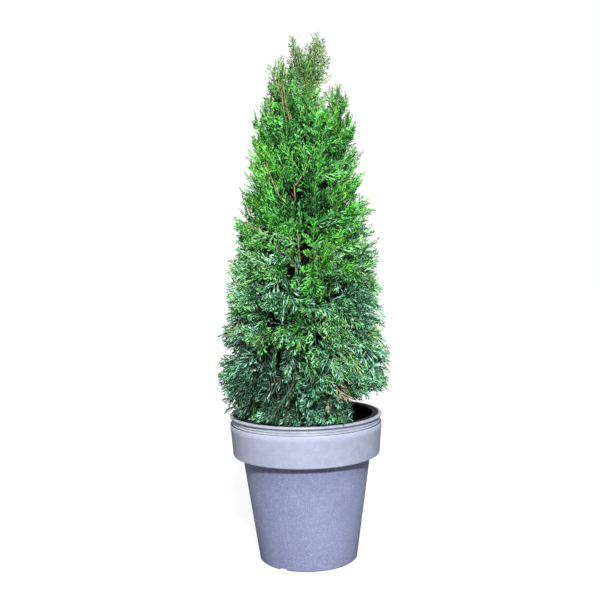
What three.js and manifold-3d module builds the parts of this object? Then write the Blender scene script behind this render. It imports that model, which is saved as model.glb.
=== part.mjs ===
// A young column-shaped thuja in a round plastic planter, with the grower's pot still inside it.
// Millimetres, +Z up. The origin is the centre of the planter's flat underside, and -Y is the front.
import * as THREE from "three";
import { mergeVertices } from "three/addons/utils/BufferGeometryUtils.js";
import Module from "manifold-3d";

const wasm = await Module();
wasm.setup();

// ---- Driving dimensions: the planter and what is in it ------------------------------------------
const GAP = 0.3; // clearance between pieces that touch
const ROUND_SIDES = 32;

const PLANTER_FOOT_R = 128.5;
const PLANTER_WALL_TOP_R = 169;
const PLANTER_WALL = 5;
const PLANTER_FLOOR = 8;
const FOOT_CORNER = 4;
const COLLAR_BOTTOM_Z = 281;
const COLLAR_BOTTOM_R = 193;
const COLLAR_TOP_Z = 365;
const COLLAR_TOP_R = 199.5;
const COLLAR_EDGE = 3.5; // how far the collar's lower edge is rounded
const COLLAR_CHAMFER = { inset: 1.2, drop: 1.5 }; // of its upper edge
const FOOT_SLOTS = 3;
const FOOT_SLOT = { width: 24, height: 5, depth: 14, turn: (-122 * Math.PI) / 180 };

const LIP_TOP_Z = 388;
const LIP_OUTER_R = 200;
const LIP_INNER_R = 175;
const LIP_THICKNESS = 5;
// the lip's rounded outside, as insets from its outer radius and drops from its top
const LIP_ROUNDING = [[2, 7], [0, 4], [3, 0.8], [9, 0]];
const NECK_R = 193.6;
const NECK_TOP_Z = LIP_TOP_Z - LIP_ROUNDING[0][1];
const NECK_RIBS = 2;
const RIB_SPAN = [0.35, 0.85]; // from and to, as shares of a rib's part of the neck
const RIB_HEIGHT = 1.2;
const BEAD_R = 196;
const BEAD_BOTTOM_Z = COLLAR_TOP_Z + 1.6;
const BEAD_TOP_Z = BEAD_BOTTOM_Z + 3.6;
const LINER_WALL = 3;
const LINER_TOP_R = 190;
const LINER_SHOULDER_R = 160.5; // where the grower's pot passes the planter's step
const LINER_SHOULDER_Z = COLLAR_BOTTOM_Z + PLANTER_WALL - 1;
const LINER_FOOT_R = 116;
const LINER_FOOT_Z = PLANTER_FLOOR + GAP;

const SOIL_TOP_Z = 347;

// ---- Driving dimensions: the tree ---------------------------------------------------------------
const TREE_TOP_Z = 1371;
const TOP_LEAN = 24; // how far the top stands to +X of the foot
const LEAN_POWER = 2.6;

const TRUNK_FOOT_Z = SOIL_TOP_Z + GAP;
const TRUNK_TOP_Z = 1226;
const TRUNK_R = 13;
const TRUNK_TIP_R = 2;
const FLARE = { radius: 10, height: 24, lobes: 5, share: 0.3 };
const TRUNK_SIDES = 10;
const TRUNK_RINGS = 14;
const RING_CROWDING = 1.7; // above 1, the rings stand closer together at the root flare

const CROWN_FOOT_R = 209; // the crown's outline at the planter's lip
const CROWN_R = 231;
const CROWN_WIDEST_Z = 480;
const CROWN_CLOSES_Z = 1384;
const CROWN_CLOSING_POWER = 0.47;

// The crown is dealt into cup-shaped tiers, each steeper than the one below, and each tier into
// equal sectors. One mass of foliage keeps to one sector of one tier.
const TIER_COUNTS = [7, 6, 6, 5, 5, 4, 3, 2];
const TIER_TURNS = [0, 0.28, 0.92, 0.2, 0.84, 0.08, 0.36, 0.36];
const TIP_COUNTS = [5, 5, 5, 5, 5, 5, 6, 9];
const LAST_TIER = TIER_COUNTS.length - 1;
const CUP_FIRST_Z = 430;
const CUP_STEP = 86;
const CUP_STEP_GROWTH = 2.2;
const CUP_FIRST_SLOPE = 0.45;
const CUP_SLOPE_GROWTH = 0.11;
const CUP_SLOPE_POWER = 1.4;
const RIM_STEPS = 40; // halvings on the way to where a cup meets the outline
const CELL_MARGIN = 1.2;
const RIM_CLEARANCE = 3;

const LIMB_REACH = 0.78; // how far a limb goes out, as a share of the way to the crown's outline
const LIMB_SAG = 0.12; // how far its middle hangs below the cup, as a share of the cups' step
const BOUGH_SHARE = 0.42; // how much of that is bare bough, in the tiers that show one
const BOUGH_TIERS = [1, 2, 4];
const BOUGH_SIDES = 6;
const BOUGH_RINGS = 2;
const BOUGH_R = 5.5; // at most, and never more than its share of the trunk that it leaves
const BOUGH_TO_TRUNK = 0.5;
const BOUGH_TIP_R = 3.6;
const BOUGH_ROOM = 2; // kept free round a bough, except within a millimetre of its end
const BOUGH_END = 1;
const BOUGH_STEP = 0.1;
const STEM_SIDES = 3;
const STEM_RINGS = 2;
const STEM_R = 3.4;
const STEM_TIP_R = 2;
// the dense inside of a mass, as shares of its sector, its height and the crown's outline
const CORE = { sides: 6, rows: 5, squareness: 0.55, lumps: 0.1 };
const CORE_REACH = { inner: 0.36, outer: 0.84, width: 0.86, height: 0.84 };
const OPEN_TIERS = [LAST_TIER]; // the leader is open, so its masses have no core
// one side of a spray's outline, from its tip to its root, as shares of its length
const SPRAY_SIDE = [[0.66, 0.09], [0.8, 0.2], [0.47, 0.14], [0.5, 0.28]];
const SPRAY_MIDDLE = 0.22;
const SPRAY_THICKNESS = 0.042;
const SPRAY_ROLL = 1.1;
const SPRAY_WIDTHS = [1.3, 1, 0.75, 0.5];
const SPRAY_TURNS = [0, 0.6, -0.6, 1.2];
const SPRAY_SHARED = [4, 4, 4, 4, 4, 4, 4, 60]; // the volume in which two sprays of a mass may cross
const SPRAY_SEAT = { reach: 0.66, sideways: 0.5, drop: 0.5, lowest: 0.12 };
const SPRAY_TILT = 0.3; // how far a spray's flat side turns upwards
const EDGE_SAMPLES = [0, 0.35, 0.7]; // where along an edge a spray is tested for room
const TIP_RISE = { lowest: 0.05, highest: 0.96, jitter: 0.3 };
const TIP_SIDEWAYS = { reach: 0.85, step: 0.618, start: 0.35, jitter: 0.07 };
const TIP_INWARD = 0.05; // at most, as a share of the crown's reach
const OPEN_INWARD = 0.5; // for every other tip of the open leader
const OPEN_SEATS = [0.5, 0.97]; // where its sprays sit along the limb
const CROWN_SEED = 20261123;

// ---- Colours ------------------------------------------------------------------------------------
const plain = (color, roughness) => new THREE.MeshStandardMaterial({ color, roughness, metalness: 0 });
const COLOURS = {
  planter: plain(0xb3b8dc, 0.62),
  liner: plain(0xc3c7e0, 0.5),
  soil: plain(0x17130f, 0.95),
  bark: plain(0x8a6a52, 0.9),
  lowFoliage: plain(0x4a7a5c, 0.75),
  midFoliage: plain(0x4f8f4a, 0.75),
  topFoliage: plain(0x6aa548, 0.75),
};

const part = new THREE.Group();

function add(name, geometry, material) {
  const mesh = new THREE.Mesh(geometry, material);
  mesh.name = name;
  part.add(mesh);
}

// ---- Solids -------------------------------------------------------------------------------------
const mix = (a, b, t) => a + (b - a) * t;

function solidOf(geometry) {
  const bare = geometry.clone();
  bare.deleteAttribute("normal");
  bare.deleteAttribute("uv");
  const shared = mergeVertices(bare, 1e-4);
  const vertProperties = new Float32Array(shared.attributes.position.array);
  const triVerts = new Uint32Array(shared.index.array);
  return new wasm.Manifold(new wasm.Mesh({ numProp: 3, vertProperties, triVerts }));
}

function geometryOf(solid) {
  const { vertProperties, triVerts } = solid.getMesh();
  const geometry = new THREE.BufferGeometry();
  geometry.setAttribute("position", new THREE.BufferAttribute(new Float32Array(vertProperties), 3));
  geometry.setIndex(new THREE.BufferAttribute(new Uint32Array(triVerts), 1));
  geometry.computeVertexNormals();
  return geometry;
}

// A closed profile of [radius, height] points, counter-clockwise, turned about the axis.
function turned(profile) {
  const points = profile.map(([radius, height]) => new THREE.Vector2(radius, height));
  return new THREE.LatheGeometry(points, ROUND_SIDES).rotateX(Math.PI / 2);
}

// A tapering limb: a closed cylinder whose rings are carried along a path from 0 to 1.
function limb(path, radiusAt, across, sides, rings, lobes = () => 1) {
  const geometry = new THREE.CylinderGeometry(1, 1, 1, sides, rings);
  const position = geometry.attributes.position;
  const step = 0.01;
  for (let i = 0; i < position.count; i++) {
    const t = position.getY(i) + 0.5;
    const before = path(Math.max(0, t - step));
    const along = path(Math.min(1, t + step)).sub(before).normalize();
    const second = new THREE.Vector3().crossVectors(across, along).normalize();
    const first = new THREE.Vector3().crossVectors(along, second);
    const turn = Math.atan2(position.getZ(i), position.getX(i));
    const reach = radiusAt(t) * Math.hypot(position.getX(i), position.getZ(i)) * lobes(t, turn);
    const point = path(t).addScaledVector(first, reach * Math.cos(turn));
    point.addScaledVector(second, reach * Math.sin(turn));
    position.setXYZ(i, point.x, point.y, point.z);
  }
  return geometry;
}

// ---- Planter, grower's pot and soil ---------------------------------------------------------------
const wallOuterR = (z) => PLANTER_FOOT_R + ((PLANTER_WALL_TOP_R - PLANTER_FOOT_R) * z) / COLLAR_BOTTOM_Z;

function planter() {
  const shelfTop = COLLAR_BOTTOM_Z + PLANTER_WALL;
  const shell = turned([
    [0, 0],
    [PLANTER_FOOT_R - FOOT_CORNER, 0],
    [wallOuterR(FOOT_CORNER), FOOT_CORNER],
    [PLANTER_WALL_TOP_R, COLLAR_BOTTOM_Z],
    [COLLAR_BOTTOM_R - COLLAR_EDGE, COLLAR_BOTTOM_Z],
    [COLLAR_BOTTOM_R, COLLAR_BOTTOM_Z + COLLAR_EDGE],
    [COLLAR_TOP_R, COLLAR_TOP_Z - COLLAR_CHAMFER.drop],
    [COLLAR_TOP_R - COLLAR_CHAMFER.inset, COLLAR_TOP_Z],
    [COLLAR_TOP_R - PLANTER_WALL, COLLAR_TOP_Z],
    [COLLAR_BOTTOM_R - PLANTER_WALL, shelfTop],
    [wallOuterR(shelfTop) - PLANTER_WALL, shelfTop],
    [wallOuterR(PLANTER_FLOOR) - PLANTER_WALL, PLANTER_FLOOR],
    [0, PLANTER_FLOOR],
  ]);
  let body = solidOf(shell);
  for (let i = 0; i < FOOT_SLOTS; i++) {
    const slot = new THREE.BoxGeometry(2 * FOOT_SLOT.depth, FOOT_SLOT.width, 2 * FOOT_SLOT.height);
    slot.translate(PLANTER_FOOT_R, 0, 0).rotateZ(FOOT_SLOT.turn + (2 * Math.PI * i) / FOOT_SLOTS);
    body = body.subtract(solidOf(slot));
  }
  return geometryOf(body);
}

// The outside of the grower's pot below its bead, used again inside for the wall and the soil.
function linerR(z) {
  if (z < LINER_SHOULDER_Z) {
    const rise = (z - LINER_FOOT_Z) / (LINER_SHOULDER_Z - LINER_FOOT_Z);
    return mix(LINER_FOOT_R, LINER_SHOULDER_R, rise);
  }
  const rise = (z - LINER_SHOULDER_Z) / (BEAD_BOTTOM_Z - LINER_SHOULDER_Z);
  return mix(LINER_SHOULDER_R, LINER_TOP_R, rise);
}

function liner() {
  const floorZ = LINER_FOOT_Z + LINER_WALL;
  const ribs = [];
  for (let i = 0; i < NECK_RIBS; i++) {
    const [from, to] = RIB_SPAN.map((share) => mix(BEAD_TOP_Z, NECK_TOP_Z, (i + share) / NECK_RIBS));
    ribs.push([NECK_R, from], [NECK_R + RIB_HEIGHT, (from + to) / 2], [NECK_R, to]);
  }
  return turned([
    [0, LINER_FOOT_Z],
    [LINER_FOOT_R, LINER_FOOT_Z],
    [LINER_SHOULDER_R, LINER_SHOULDER_Z],
    [LINER_TOP_R, BEAD_BOTTOM_Z],
    [BEAD_R, BEAD_BOTTOM_Z],
    [BEAD_R, BEAD_TOP_Z],
    ...ribs,
    ...LIP_ROUNDING.map(([inset, drop]) => [LIP_OUTER_R - inset, LIP_TOP_Z - drop]),
    [LIP_INNER_R, LIP_TOP_Z],
    [LIP_INNER_R, LIP_TOP_Z - LIP_THICKNESS],
    [linerR(BEAD_BOTTOM_Z) - LINER_WALL, BEAD_BOTTOM_Z],
    [LINER_SHOULDER_R - LINER_WALL, LINER_SHOULDER_Z],
    [LINER_FOOT_R - LINER_WALL, floorZ],
    [0, floorZ],
  ]);
}

function soil() {
  const inset = LINER_WALL + 2 * GAP;
  const footZ = LINER_FOOT_Z + LINER_WALL + GAP;
  return turned([
    [0, footZ],
    [linerR(footZ) - inset, footZ],
    [LINER_SHOULDER_R - inset, LINER_SHOULDER_Z],
    [linerR(SOIL_TOP_Z) - inset, SOIL_TOP_Z],
    [0, SOIL_TOP_Z],
  ]);
}

add("planter", planter(), COLOURS.planter);
add("liner", liner(), COLOURS.liner);
add("soil", soil(), COLOURS.soil);

// ---- Trunk --------------------------------------------------------------------------------------
const axisX = (z) => {
  const rise = Math.max(0, (z - SOIL_TOP_Z) / (TREE_TOP_Z - SOIL_TOP_Z));
  return TOP_LEAN * rise ** LEAN_POWER;
};

function trunkR(z) {
  const rise = (z - TRUNK_FOOT_Z) / (TRUNK_TOP_Z - TRUNK_FOOT_Z);
  const taper = TRUNK_TIP_R + (TRUNK_R - TRUNK_TIP_R) * (1 - rise);
  return taper + FLARE.radius * Math.exp(-(z - TRUNK_FOOT_Z) / FLARE.height);
}

function trunk(extra = 0) {
  const height = (t) => TRUNK_FOOT_Z + (TRUNK_TOP_Z - TRUNK_FOOT_Z) * t ** RING_CROWDING;
  const lobes = (t, turn) => {
    const fade = Math.exp(-(height(t) - TRUNK_FOOT_Z) / FLARE.height);
    return 1 + FLARE.share * fade * Math.cos(FLARE.lobes * turn);
  };
  const path = (t) => new THREE.Vector3(axisX(height(t)), 0, height(t));
  const radiusAt = (t) => trunkR(height(t)) + extra;
  return limb(path, radiusAt, new THREE.Vector3(1, 0, 0), TRUNK_SIDES, TRUNK_RINGS, lobes);
}

add("trunk", trunk(), COLOURS.bark);
const trunkRoom = solidOf(trunk(GAP));

// ---- The crown's rule ---------------------------------------------------------------------------
let seed = CROWN_SEED;
function random() {
  seed = (Math.imul(seed, 1664525) + 1013904223) >>> 0;
  return seed / 4294967296;
}
const spread = () => 2 * random() - 1;

function crownR(z) {
  if (z < CROWN_WIDEST_Z) {
    const t = (z - LIP_TOP_Z) / (CROWN_WIDEST_Z - LIP_TOP_Z);
    return mix(CROWN_FOOT_R, CROWN_R, Math.sin((Math.PI / 2) * Math.max(0, t)));
  }
  const left = Math.max(0, (CROWN_CLOSES_Z - z) / (CROWN_CLOSES_Z - CROWN_WIDEST_Z));
  return CROWN_R * left ** CROWN_CLOSING_POWER;
}

// The cup number i is the upper bound of tier i; its height grows outwards along its slope.
const cupZ = (i) => CUP_FIRST_Z + CUP_STEP * i + CUP_STEP_GROWTH * i * Math.abs(i);
const cupSlope = (i) => CUP_FIRST_SLOPE + CUP_SLOPE_GROWTH * Math.sign(i) * Math.abs(i) ** CUP_SLOPE_POWER;

// The height at which a cup of that base and slope meets the crown's outline.
function cupRimZ(base, slope) {
  let z = base;
  for (let i = 0; i < RIM_STEPS; i++) {
    z = mix(z, base + slope * crownR(z), 0.5);
  }
  return z;
}

const polar = (turn, r, z) => new THREE.Vector3(axisX(z) + r * Math.cos(turn), r * Math.sin(turn), z);

function cellOf(tier, sector) {
  const half = Math.PI / TIER_COUNTS[tier];
  const turn = 2 * half * (sector + TIER_TURNS[tier]) - Math.PI / 2;
  const lower = { base: cupZ(tier - 1), slope: cupSlope(tier - 1) };
  const upper = { base: cupZ(tier), slope: cupSlope(tier) };
  const middle = { base: mix(lower.base, upper.base, 0.5), slope: mix(lower.slope, upper.slope, 0.5) };
  const lowZ = tier === 0 ? LIP_TOP_Z + 8 : cupRimZ(lower.base, lower.slope);
  const highZ = tier === LAST_TIER ? TREE_TOP_Z : cupRimZ(upper.base, upper.slope);
  return { tier, half, turn, lower, upper, middle, lowZ, highZ };
}

function inCell(cell, point) {
  const x = point.x - axisX(point.z);
  const r = Math.hypot(x, point.y);
  let off = Math.atan2(point.y, x) - cell.turn;
  off = Math.abs(Math.atan2(Math.sin(off), Math.cos(off)));
  if (off > cell.half || r * Math.sin(cell.half - off) < CELL_MARGIN) return false;
  const above = (cup) => point.z - cup.base - cup.slope * r;
  const room = (cup) => CELL_MARGIN * Math.hypot(1, cup.slope);
  if (cell.tier < LAST_TIER && above(cell.upper) > -room(cell.upper)) return false;
  if (cell.tier > 0 && above(cell.lower) < room(cell.lower)) return false;
  const floorZ = r < LIP_INNER_R - RIM_CLEARANCE ? SOIL_TOP_Z : LIP_TOP_Z;
  if (point.z < floorZ + RIM_CLEARANCE) return false;
  return point.z > TRUNK_TOP_Z + RIM_CLEARANCE || r > trunkR(point.z) + RIM_CLEARANCE;
}

// A limb leaves the trunk on the cell's middle cup and swings up towards its end.
function limbPath(cell) {
  const rimZ = cupRimZ(cell.middle.base, cell.middle.slope);
  const reach = LIMB_REACH * crownR(rimZ);
  const sag = LIMB_SAG * CUP_STEP;
  return (t) => {
    const r = reach * t;
    const z = cell.middle.base + cell.middle.slope * r - sag * Math.sin(Math.PI * t);
    return polar(cell.turn, r, z);
  };
}

// A spray is a flat toothed blade, thickest near its root: a sphere of two rows of faces whose
// equator is drawn out to the blade's outline.
const otherSide = SPRAY_SIDE.map(([along, across]) => [along, -across]).reverse();
const SPRAY_OUTLINE = [[1, 0], ...SPRAY_SIDE, [0, 0], ...otherSide];

function spray(root, tip, face, width) {
  const corners = SPRAY_OUTLINE.length;
  const along = tip.clone().sub(root);
  const length = along.length();
  along.normalize();
  const side = new THREE.Vector3().crossVectors(face, along).normalize();
  const normal = new THREE.Vector3().crossVectors(along, side);
  const geometry = new THREE.SphereGeometry(1, corners, 2);
  const position = geometry.attributes.position;
  for (let i = 0; i < position.count; i++) {
    const row = Math.floor(i / (corners + 1));
    const [ahead, across] = row === 1 ? SPRAY_OUTLINE[(i % (corners + 1)) % corners] : [SPRAY_MIDDLE, 0];
    const point = root.clone().addScaledVector(along, ahead * length);
    point.addScaledVector(side, across * length * width);
    point.addScaledVector(normal, (1 - row) * SPRAY_THICKNESS * length * 0.5);
    position.setXYZ(i, point.x, point.y, point.z);
  }
  return geometry;
}

function fits(cell, geometry, isClear) {
  const { index } = geometry;
  const { position } = geometry.attributes;
  const here = new THREE.Vector3();
  const next = new THREE.Vector3();
  for (let i = 0; i < index.count; i++) {
    here.fromBufferAttribute(position, index.getX(i));
    next.fromBufferAttribute(position, index.getX(i - (i % 3) + ((i + 1) % 3)));
    for (const share of EDGE_SAMPLES) {
      const sample = here.clone().lerp(next, share);
      if (!inCell(cell, sample) || !isClear(sample)) return false;
    }
  }
  return true;
}

// What fusing shut is filled, and a loose scrap is dropped: only the outer skin of the largest stays.
function wholeOf(solid) {
  const pieces = solid.decompose().sort((a, b) => b.volume() - a.volume());
  return pieces[0];
}

// A place in a cell: a share of its half width to either side, a share of the way to the crown's
// outline, and a share of its height from the lower cup to the upper one.
function placeIn(cell, sideways, reach, height) {
  const r = reach * crownR(mix(cell.lowZ, cell.highZ, height));
  const z = mix(cell.lower.base + cell.lower.slope * r, cell.upper.base + cell.upper.slope * r, height);
  return polar(cell.turn + cell.half * sideways, r, z);
}

function core(cell) {
  const geometry = new THREE.SphereGeometry(1, CORE.sides, CORE.rows);
  const position = geometry.attributes.position;
  const lump = [];
  for (let i = 0; i < position.count; i++) {
    const row = Math.floor(i / (CORE.sides + 1));
    const column = row === 0 || row === CORE.rows ? 0 : i % (CORE.sides + 1) % CORE.sides;
    const key = row * CORE.sides + column;
    lump[key] ??= 1 - CORE.lumps * random();
    const out = new THREE.Vector3().fromBufferAttribute(position, i);
    const largest = Math.max(Math.abs(out.x), Math.abs(out.y), Math.abs(out.z));
    out.multiplyScalar(lump[key] / largest ** CORE.squareness);
    const reach = mix(CORE_REACH.inner, CORE_REACH.outer, (out.x + 1) / 2);
    const place = placeIn(cell, CORE_REACH.width * out.z, reach, 0.5 - 0.5 * CORE_REACH.height * out.y);
    position.setXYZ(i, place.x, place.y, place.z);
  }
  return geometry;
}

// Where spray number k of a mass starts and ends, and which way its flat side faces.
function sprayPlace(cell, path, k) {
  const tips = TIP_COUNTS[cell.tier];
  const isOpen = OPEN_TIERS.includes(cell.tier);
  const evenRise = isOpen ? 1 - k / tips : (k + 0.5 + TIP_RISE.jitter * spread()) / tips;
  const evenTurn = 2 * ((k * TIP_SIDEWAYS.step + TIP_SIDEWAYS.start) % 1) - 1;
  const sideways = TIP_SIDEWAYS.reach * evenTurn + TIP_SIDEWAYS.jitter * spread();
  const inward = TIP_INWARD * random();
  const roll = (random() - 0.5) * SPRAY_ROLL;

  const rise = mix(TIP_RISE.lowest, TIP_RISE.highest, evenRise);
  const z = mix(cell.lowZ, cell.highZ, isOpen ? evenRise : rise);
  const bearing = cell.turn + cell.half * sideways;
  const tip = polar(bearing, crownR(z) * (1 - (isOpen && k % 2 ? OPEN_INWARD : inward)), z);
  const below = Math.max(SPRAY_SEAT.lowest, rise - SPRAY_SEAT.drop);
  const seat = isOpen ? path(mix(...OPEN_SEATS, evenRise))
    : placeIn(cell, SPRAY_SEAT.sideways * sideways, SPRAY_SEAT.reach, below);
  const outward = new THREE.Vector3(Math.cos(bearing), Math.sin(bearing), SPRAY_TILT);
  return { tip, seat, outward, roll };
}

// The widest spray in the most open turn that has room at its place, or none.
function roomySpray(cell, { tip, seat, outward, roll }, others, isClear) {
  const along = tip.clone().sub(seat).normalize();
  for (const width of SPRAY_WIDTHS) {
    for (const turn of SPRAY_TURNS) {
      const face = outward.clone().applyAxisAngle(along, roll + turn);
      const blade = spray(seat, tip, face, width);
      if (!fits(cell, blade, isClear)) continue;
      const solid = solidOf(blade);
      if (!others || others.intersect(solid).volume() < SPRAY_SHARED[cell.tier]) return solid;
    }
  }
  return null;
}

function foliage(cell, path, stemFrom, isClear) {
  const across = new THREE.Vector3(-Math.sin(cell.turn), Math.cos(cell.turn), 0);
  const stemPath = (t) => path(mix(stemFrom, 1, t));
  const stem = limb(stemPath, (t) => mix(STEM_R, STEM_TIP_R, t), across, STEM_SIDES, STEM_RINGS);
  let mass = solidOf(stem);
  if (stemFrom === 0) mass = mass.subtract(trunkRoom);
  if (!OPEN_TIERS.includes(cell.tier)) mass = mass.add(solidOf(core(cell)));

  let sprays = null;
  for (let k = 0; k < TIP_COUNTS[cell.tier]; k++) {
    const found = roomySpray(cell, sprayPlace(cell, path, k), sprays, isClear);
    if (found) sprays = sprays ? sprays.add(found) : found;
  }
  return wholeOf(mass.add(sprays));
}

// True for points that leave room round the bough of this path, except at its very end.
function clearOfBough(path) {
  const end = path(BOUGH_SHARE);
  return (point) => {
    for (let t = 0; t <= 1; t += BOUGH_STEP) {
      const isNear = point.distanceTo(path(t * BOUGH_SHARE)) < BOUGH_R + BOUGH_ROOM;
      if (isNear && point.distanceTo(end) > BOUGH_END) return false;
    }
    return true;
  };
}

function bough(cell, path) {
  const across = new THREE.Vector3(-Math.sin(cell.turn), Math.cos(cell.turn), 0);
  const rootR = Math.min(BOUGH_R, BOUGH_TO_TRUNK * trunkR(cell.middle.base));
  const radiusAt = (t) => mix(rootR, BOUGH_TIP_R, t);
  const whole = limb((t) => path(t * BOUGH_SHARE), radiusAt, across, BOUGH_SIDES, BOUGH_RINGS);
  return solidOf(whole).subtract(trunkRoom);
}

const COLOUR_OF_TIER = [COLOURS.lowFoliage, COLOURS.lowFoliage, COLOURS.lowFoliage, COLOURS.midFoliage,
  COLOURS.midFoliage, COLOURS.topFoliage, COLOURS.topFoliage, COLOURS.topFoliage];

for (let tier = 0; tier <= LAST_TIER; tier++) {
  for (let sector = 0; sector < TIER_COUNTS[tier]; sector++) {
    const cell = cellOf(tier, sector);
    const path = limbPath(cell);
    const name = `${tier + 1}_${sector + 1}`;
    let stemFrom = 0;
    let isClear = () => true;
    if (BOUGH_TIERS.includes(tier)) {
      add(`bough_${name}`, geometryOf(bough(cell, path)), COLOURS.bark);
      stemFrom = BOUGH_SHARE + GAP / path(0).distanceTo(path(1));
      isClear = clearOfBough(path);
    }
    add(`foliage_${name}`, geometryOf(foliage(cell, path, stemFrom, isClear)), COLOUR_OF_TIER[tier]);
  }
}

export default part;
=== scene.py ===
# %% [markdown]
# A potted thuja: a young evergreen, 1.37 m from the ground to its tips, in a 40 cm plastic planter
# that still holds the grower's pot it was raised in.
#
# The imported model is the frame. Everything made here is in metres, in that same frame: the origin is
# the centre of the planter's underside, +Z is up, and the camera looks along +Y. The solids only say
# where things are and how far they reach. Each of them is replaced by a finer piece: turned pots
# with rounded rims, a crumbly soil, barked limbs, and some thousands of flat sprays.

# %% The frame and the tools
from collections import namedtuple
from math import atan2, copysign, cos, exp, hypot, pi, radians, sin

import bpy
import numpy as np
from mathutils import Matrix, Vector, noise


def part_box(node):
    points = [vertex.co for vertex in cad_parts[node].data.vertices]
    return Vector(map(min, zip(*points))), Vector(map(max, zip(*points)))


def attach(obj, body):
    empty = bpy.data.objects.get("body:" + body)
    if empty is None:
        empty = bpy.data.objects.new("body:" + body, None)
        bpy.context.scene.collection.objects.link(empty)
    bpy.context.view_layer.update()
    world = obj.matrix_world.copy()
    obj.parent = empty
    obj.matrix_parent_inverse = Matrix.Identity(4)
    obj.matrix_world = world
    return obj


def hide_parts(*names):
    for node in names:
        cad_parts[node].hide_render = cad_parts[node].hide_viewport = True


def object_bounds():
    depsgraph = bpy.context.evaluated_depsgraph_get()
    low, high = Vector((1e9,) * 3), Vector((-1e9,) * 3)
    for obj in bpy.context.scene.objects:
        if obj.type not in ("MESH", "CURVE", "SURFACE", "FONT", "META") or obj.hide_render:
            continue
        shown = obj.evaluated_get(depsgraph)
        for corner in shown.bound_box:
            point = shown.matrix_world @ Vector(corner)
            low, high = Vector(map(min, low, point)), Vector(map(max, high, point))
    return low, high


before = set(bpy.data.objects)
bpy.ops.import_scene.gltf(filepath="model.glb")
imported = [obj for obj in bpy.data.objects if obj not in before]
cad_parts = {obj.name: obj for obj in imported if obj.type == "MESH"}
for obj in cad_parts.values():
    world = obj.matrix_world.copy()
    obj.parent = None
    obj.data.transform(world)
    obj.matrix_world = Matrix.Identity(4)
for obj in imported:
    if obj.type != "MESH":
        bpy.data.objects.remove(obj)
CAD_BOX = [list(corner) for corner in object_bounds()]
NODES = sorted(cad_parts)
BOUGHS = [node for node in NODES if node.startswith("bough_")]
MASSES = [node for node in NODES if node.startswith("foliage_")]
print("frame:", len(NODES), "solids, box", [[round(v, 3) for v in corner] for corner in CAD_BOX])

# %% [markdown]
# The camera comes first, because what it sees decides how fine each thing has to be. It stands
# 2.6 m away a little above the middle of the tree, looks slightly down, and is rolled by just over
# a degree, so the planter seems to lean a touch to the left. From there a strand of scale leaves,
# 3.5 mm wide, is about the smallest thing that shows.

# %% Camera
CAMERA_PLACE = (-0.0082, -2.6135, 0.8877)
CAMERA_PITCH = radians(-4.43)
CAMERA_ROLL = radians(-1.31)
CAMERA_LENS = 60.07

bpy.ops.object.camera_add(location=CAMERA_PLACE)
camera = bpy.context.object
camera.name = "camera"
camera.data.lens = CAMERA_LENS
camera.data.sensor_width = 36.0
tilt = Matrix.Rotation(pi / 2 + CAMERA_PITCH, 4, "X") @ Matrix.Rotation(CAMERA_ROLL, 4, "Z")
camera.matrix_world = Matrix.Translation(CAMERA_PLACE) @ tilt
bpy.context.scene.camera = camera
print("camera at", [round(v, 3) for v in camera.location])

# %% [markdown]
# A plain studio: a white floor that melts into a white backdrop, a lamp from the front, high up and
# a little to the right, and an even white sky that fills the shadows. The lamp is a sun five
# degrees wide, so shadows have soft edges but the gaps between the sprays stay dark. Sky and floor
# are brighter to the camera than they are as lights, which keeps the background white without
# washing out the shaded sides of the plant and the pot.

# %% Light and floor
KEY_FROM = Vector((0.08, -1.0, 0.68))  # towards the lamp
KEY_STRENGTH = 6.7
KEY_WIDTH = radians(5)
SKY_AS_LIGHT = 0.64
FLOOR_GLOW = 0.86  # to the camera only
FLOOR_SIZE = 14
FLOOR_PLACE = (0, 2.0, -0.0005)  # a hair below the planter's foot


def wire(node, inputs):
    """Sets inputs by name or number, each from a number, a colour or another node's output."""
    for key, value in inputs.items():
        if isinstance(value, bpy.types.NodeSocket):
            node.id_data.links.new(value, node.inputs[key])
        else:
            node.inputs[key].default_value = value
    return node


def for_the_camera(node, label, as_light, to_camera):
    """Gives a strength one value for the camera and another for everything else."""
    nodes = node.id_data.nodes
    ray = nodes.new("ShaderNodeLightPath").outputs["Is Camera Ray"]
    seen = wire(nodes.new("ShaderNodeMapRange"), {"Value": ray, "To Min": as_light, "To Max": to_camera})
    wire(node, {label: seen.outputs["Result"]})


bpy.context.scene.view_settings.view_transform = "Standard"
bpy.ops.object.light_add(type="SUN")
key = bpy.context.object
key.name = "key_light"
key.data.energy = KEY_STRENGTH
key.data.angle = KEY_WIDTH
key.rotation_euler = KEY_FROM.to_track_quat("Z", "Y").to_euler()

world = bpy.data.worlds.new("studio")
world.use_nodes = True
bpy.context.scene.world = world
sky = wire(world.node_tree.nodes["Background"], {"Color": (1, 1, 1, 1)})
for_the_camera(sky, "Strength", SKY_AS_LIGHT, 1.0)

bpy.ops.mesh.primitive_plane_add(size=FLOOR_SIZE, location=FLOOR_PLACE)
floor = bpy.context.object
floor.name = "studio_floor"
white = bpy.data.materials.new("white_floor")
white.use_nodes = True
white_shader = wire(white.node_tree.nodes["Principled BSDF"], {
    "Base Color": (0.14, 0.14, 0.145, 1), "Roughness": 0.9, "Specular IOR Level": 0.1,
    "Emission Color": (1, 1, 1, 1),
})
for_the_camera(white_shader, "Emission Strength", 0.0, FLOOR_GLOW)
floor.data.materials.append(white)
print("studio: floor, key light and sky")

# %% [markdown]
# Operators act on whatever is selected, and loading the frame leaves its solids selected, so every
# step starts by letting go of everything. These helpers do that, make meshes, and hand a finished
# piece to the frame.


# %% Helpers for working by hand
def let_go():
    bpy.ops.object.select_all(action="DESELECT")


def take(obj):
    let_go()
    obj.select_set(True)
    bpy.context.view_layer.objects.active = obj


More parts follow.
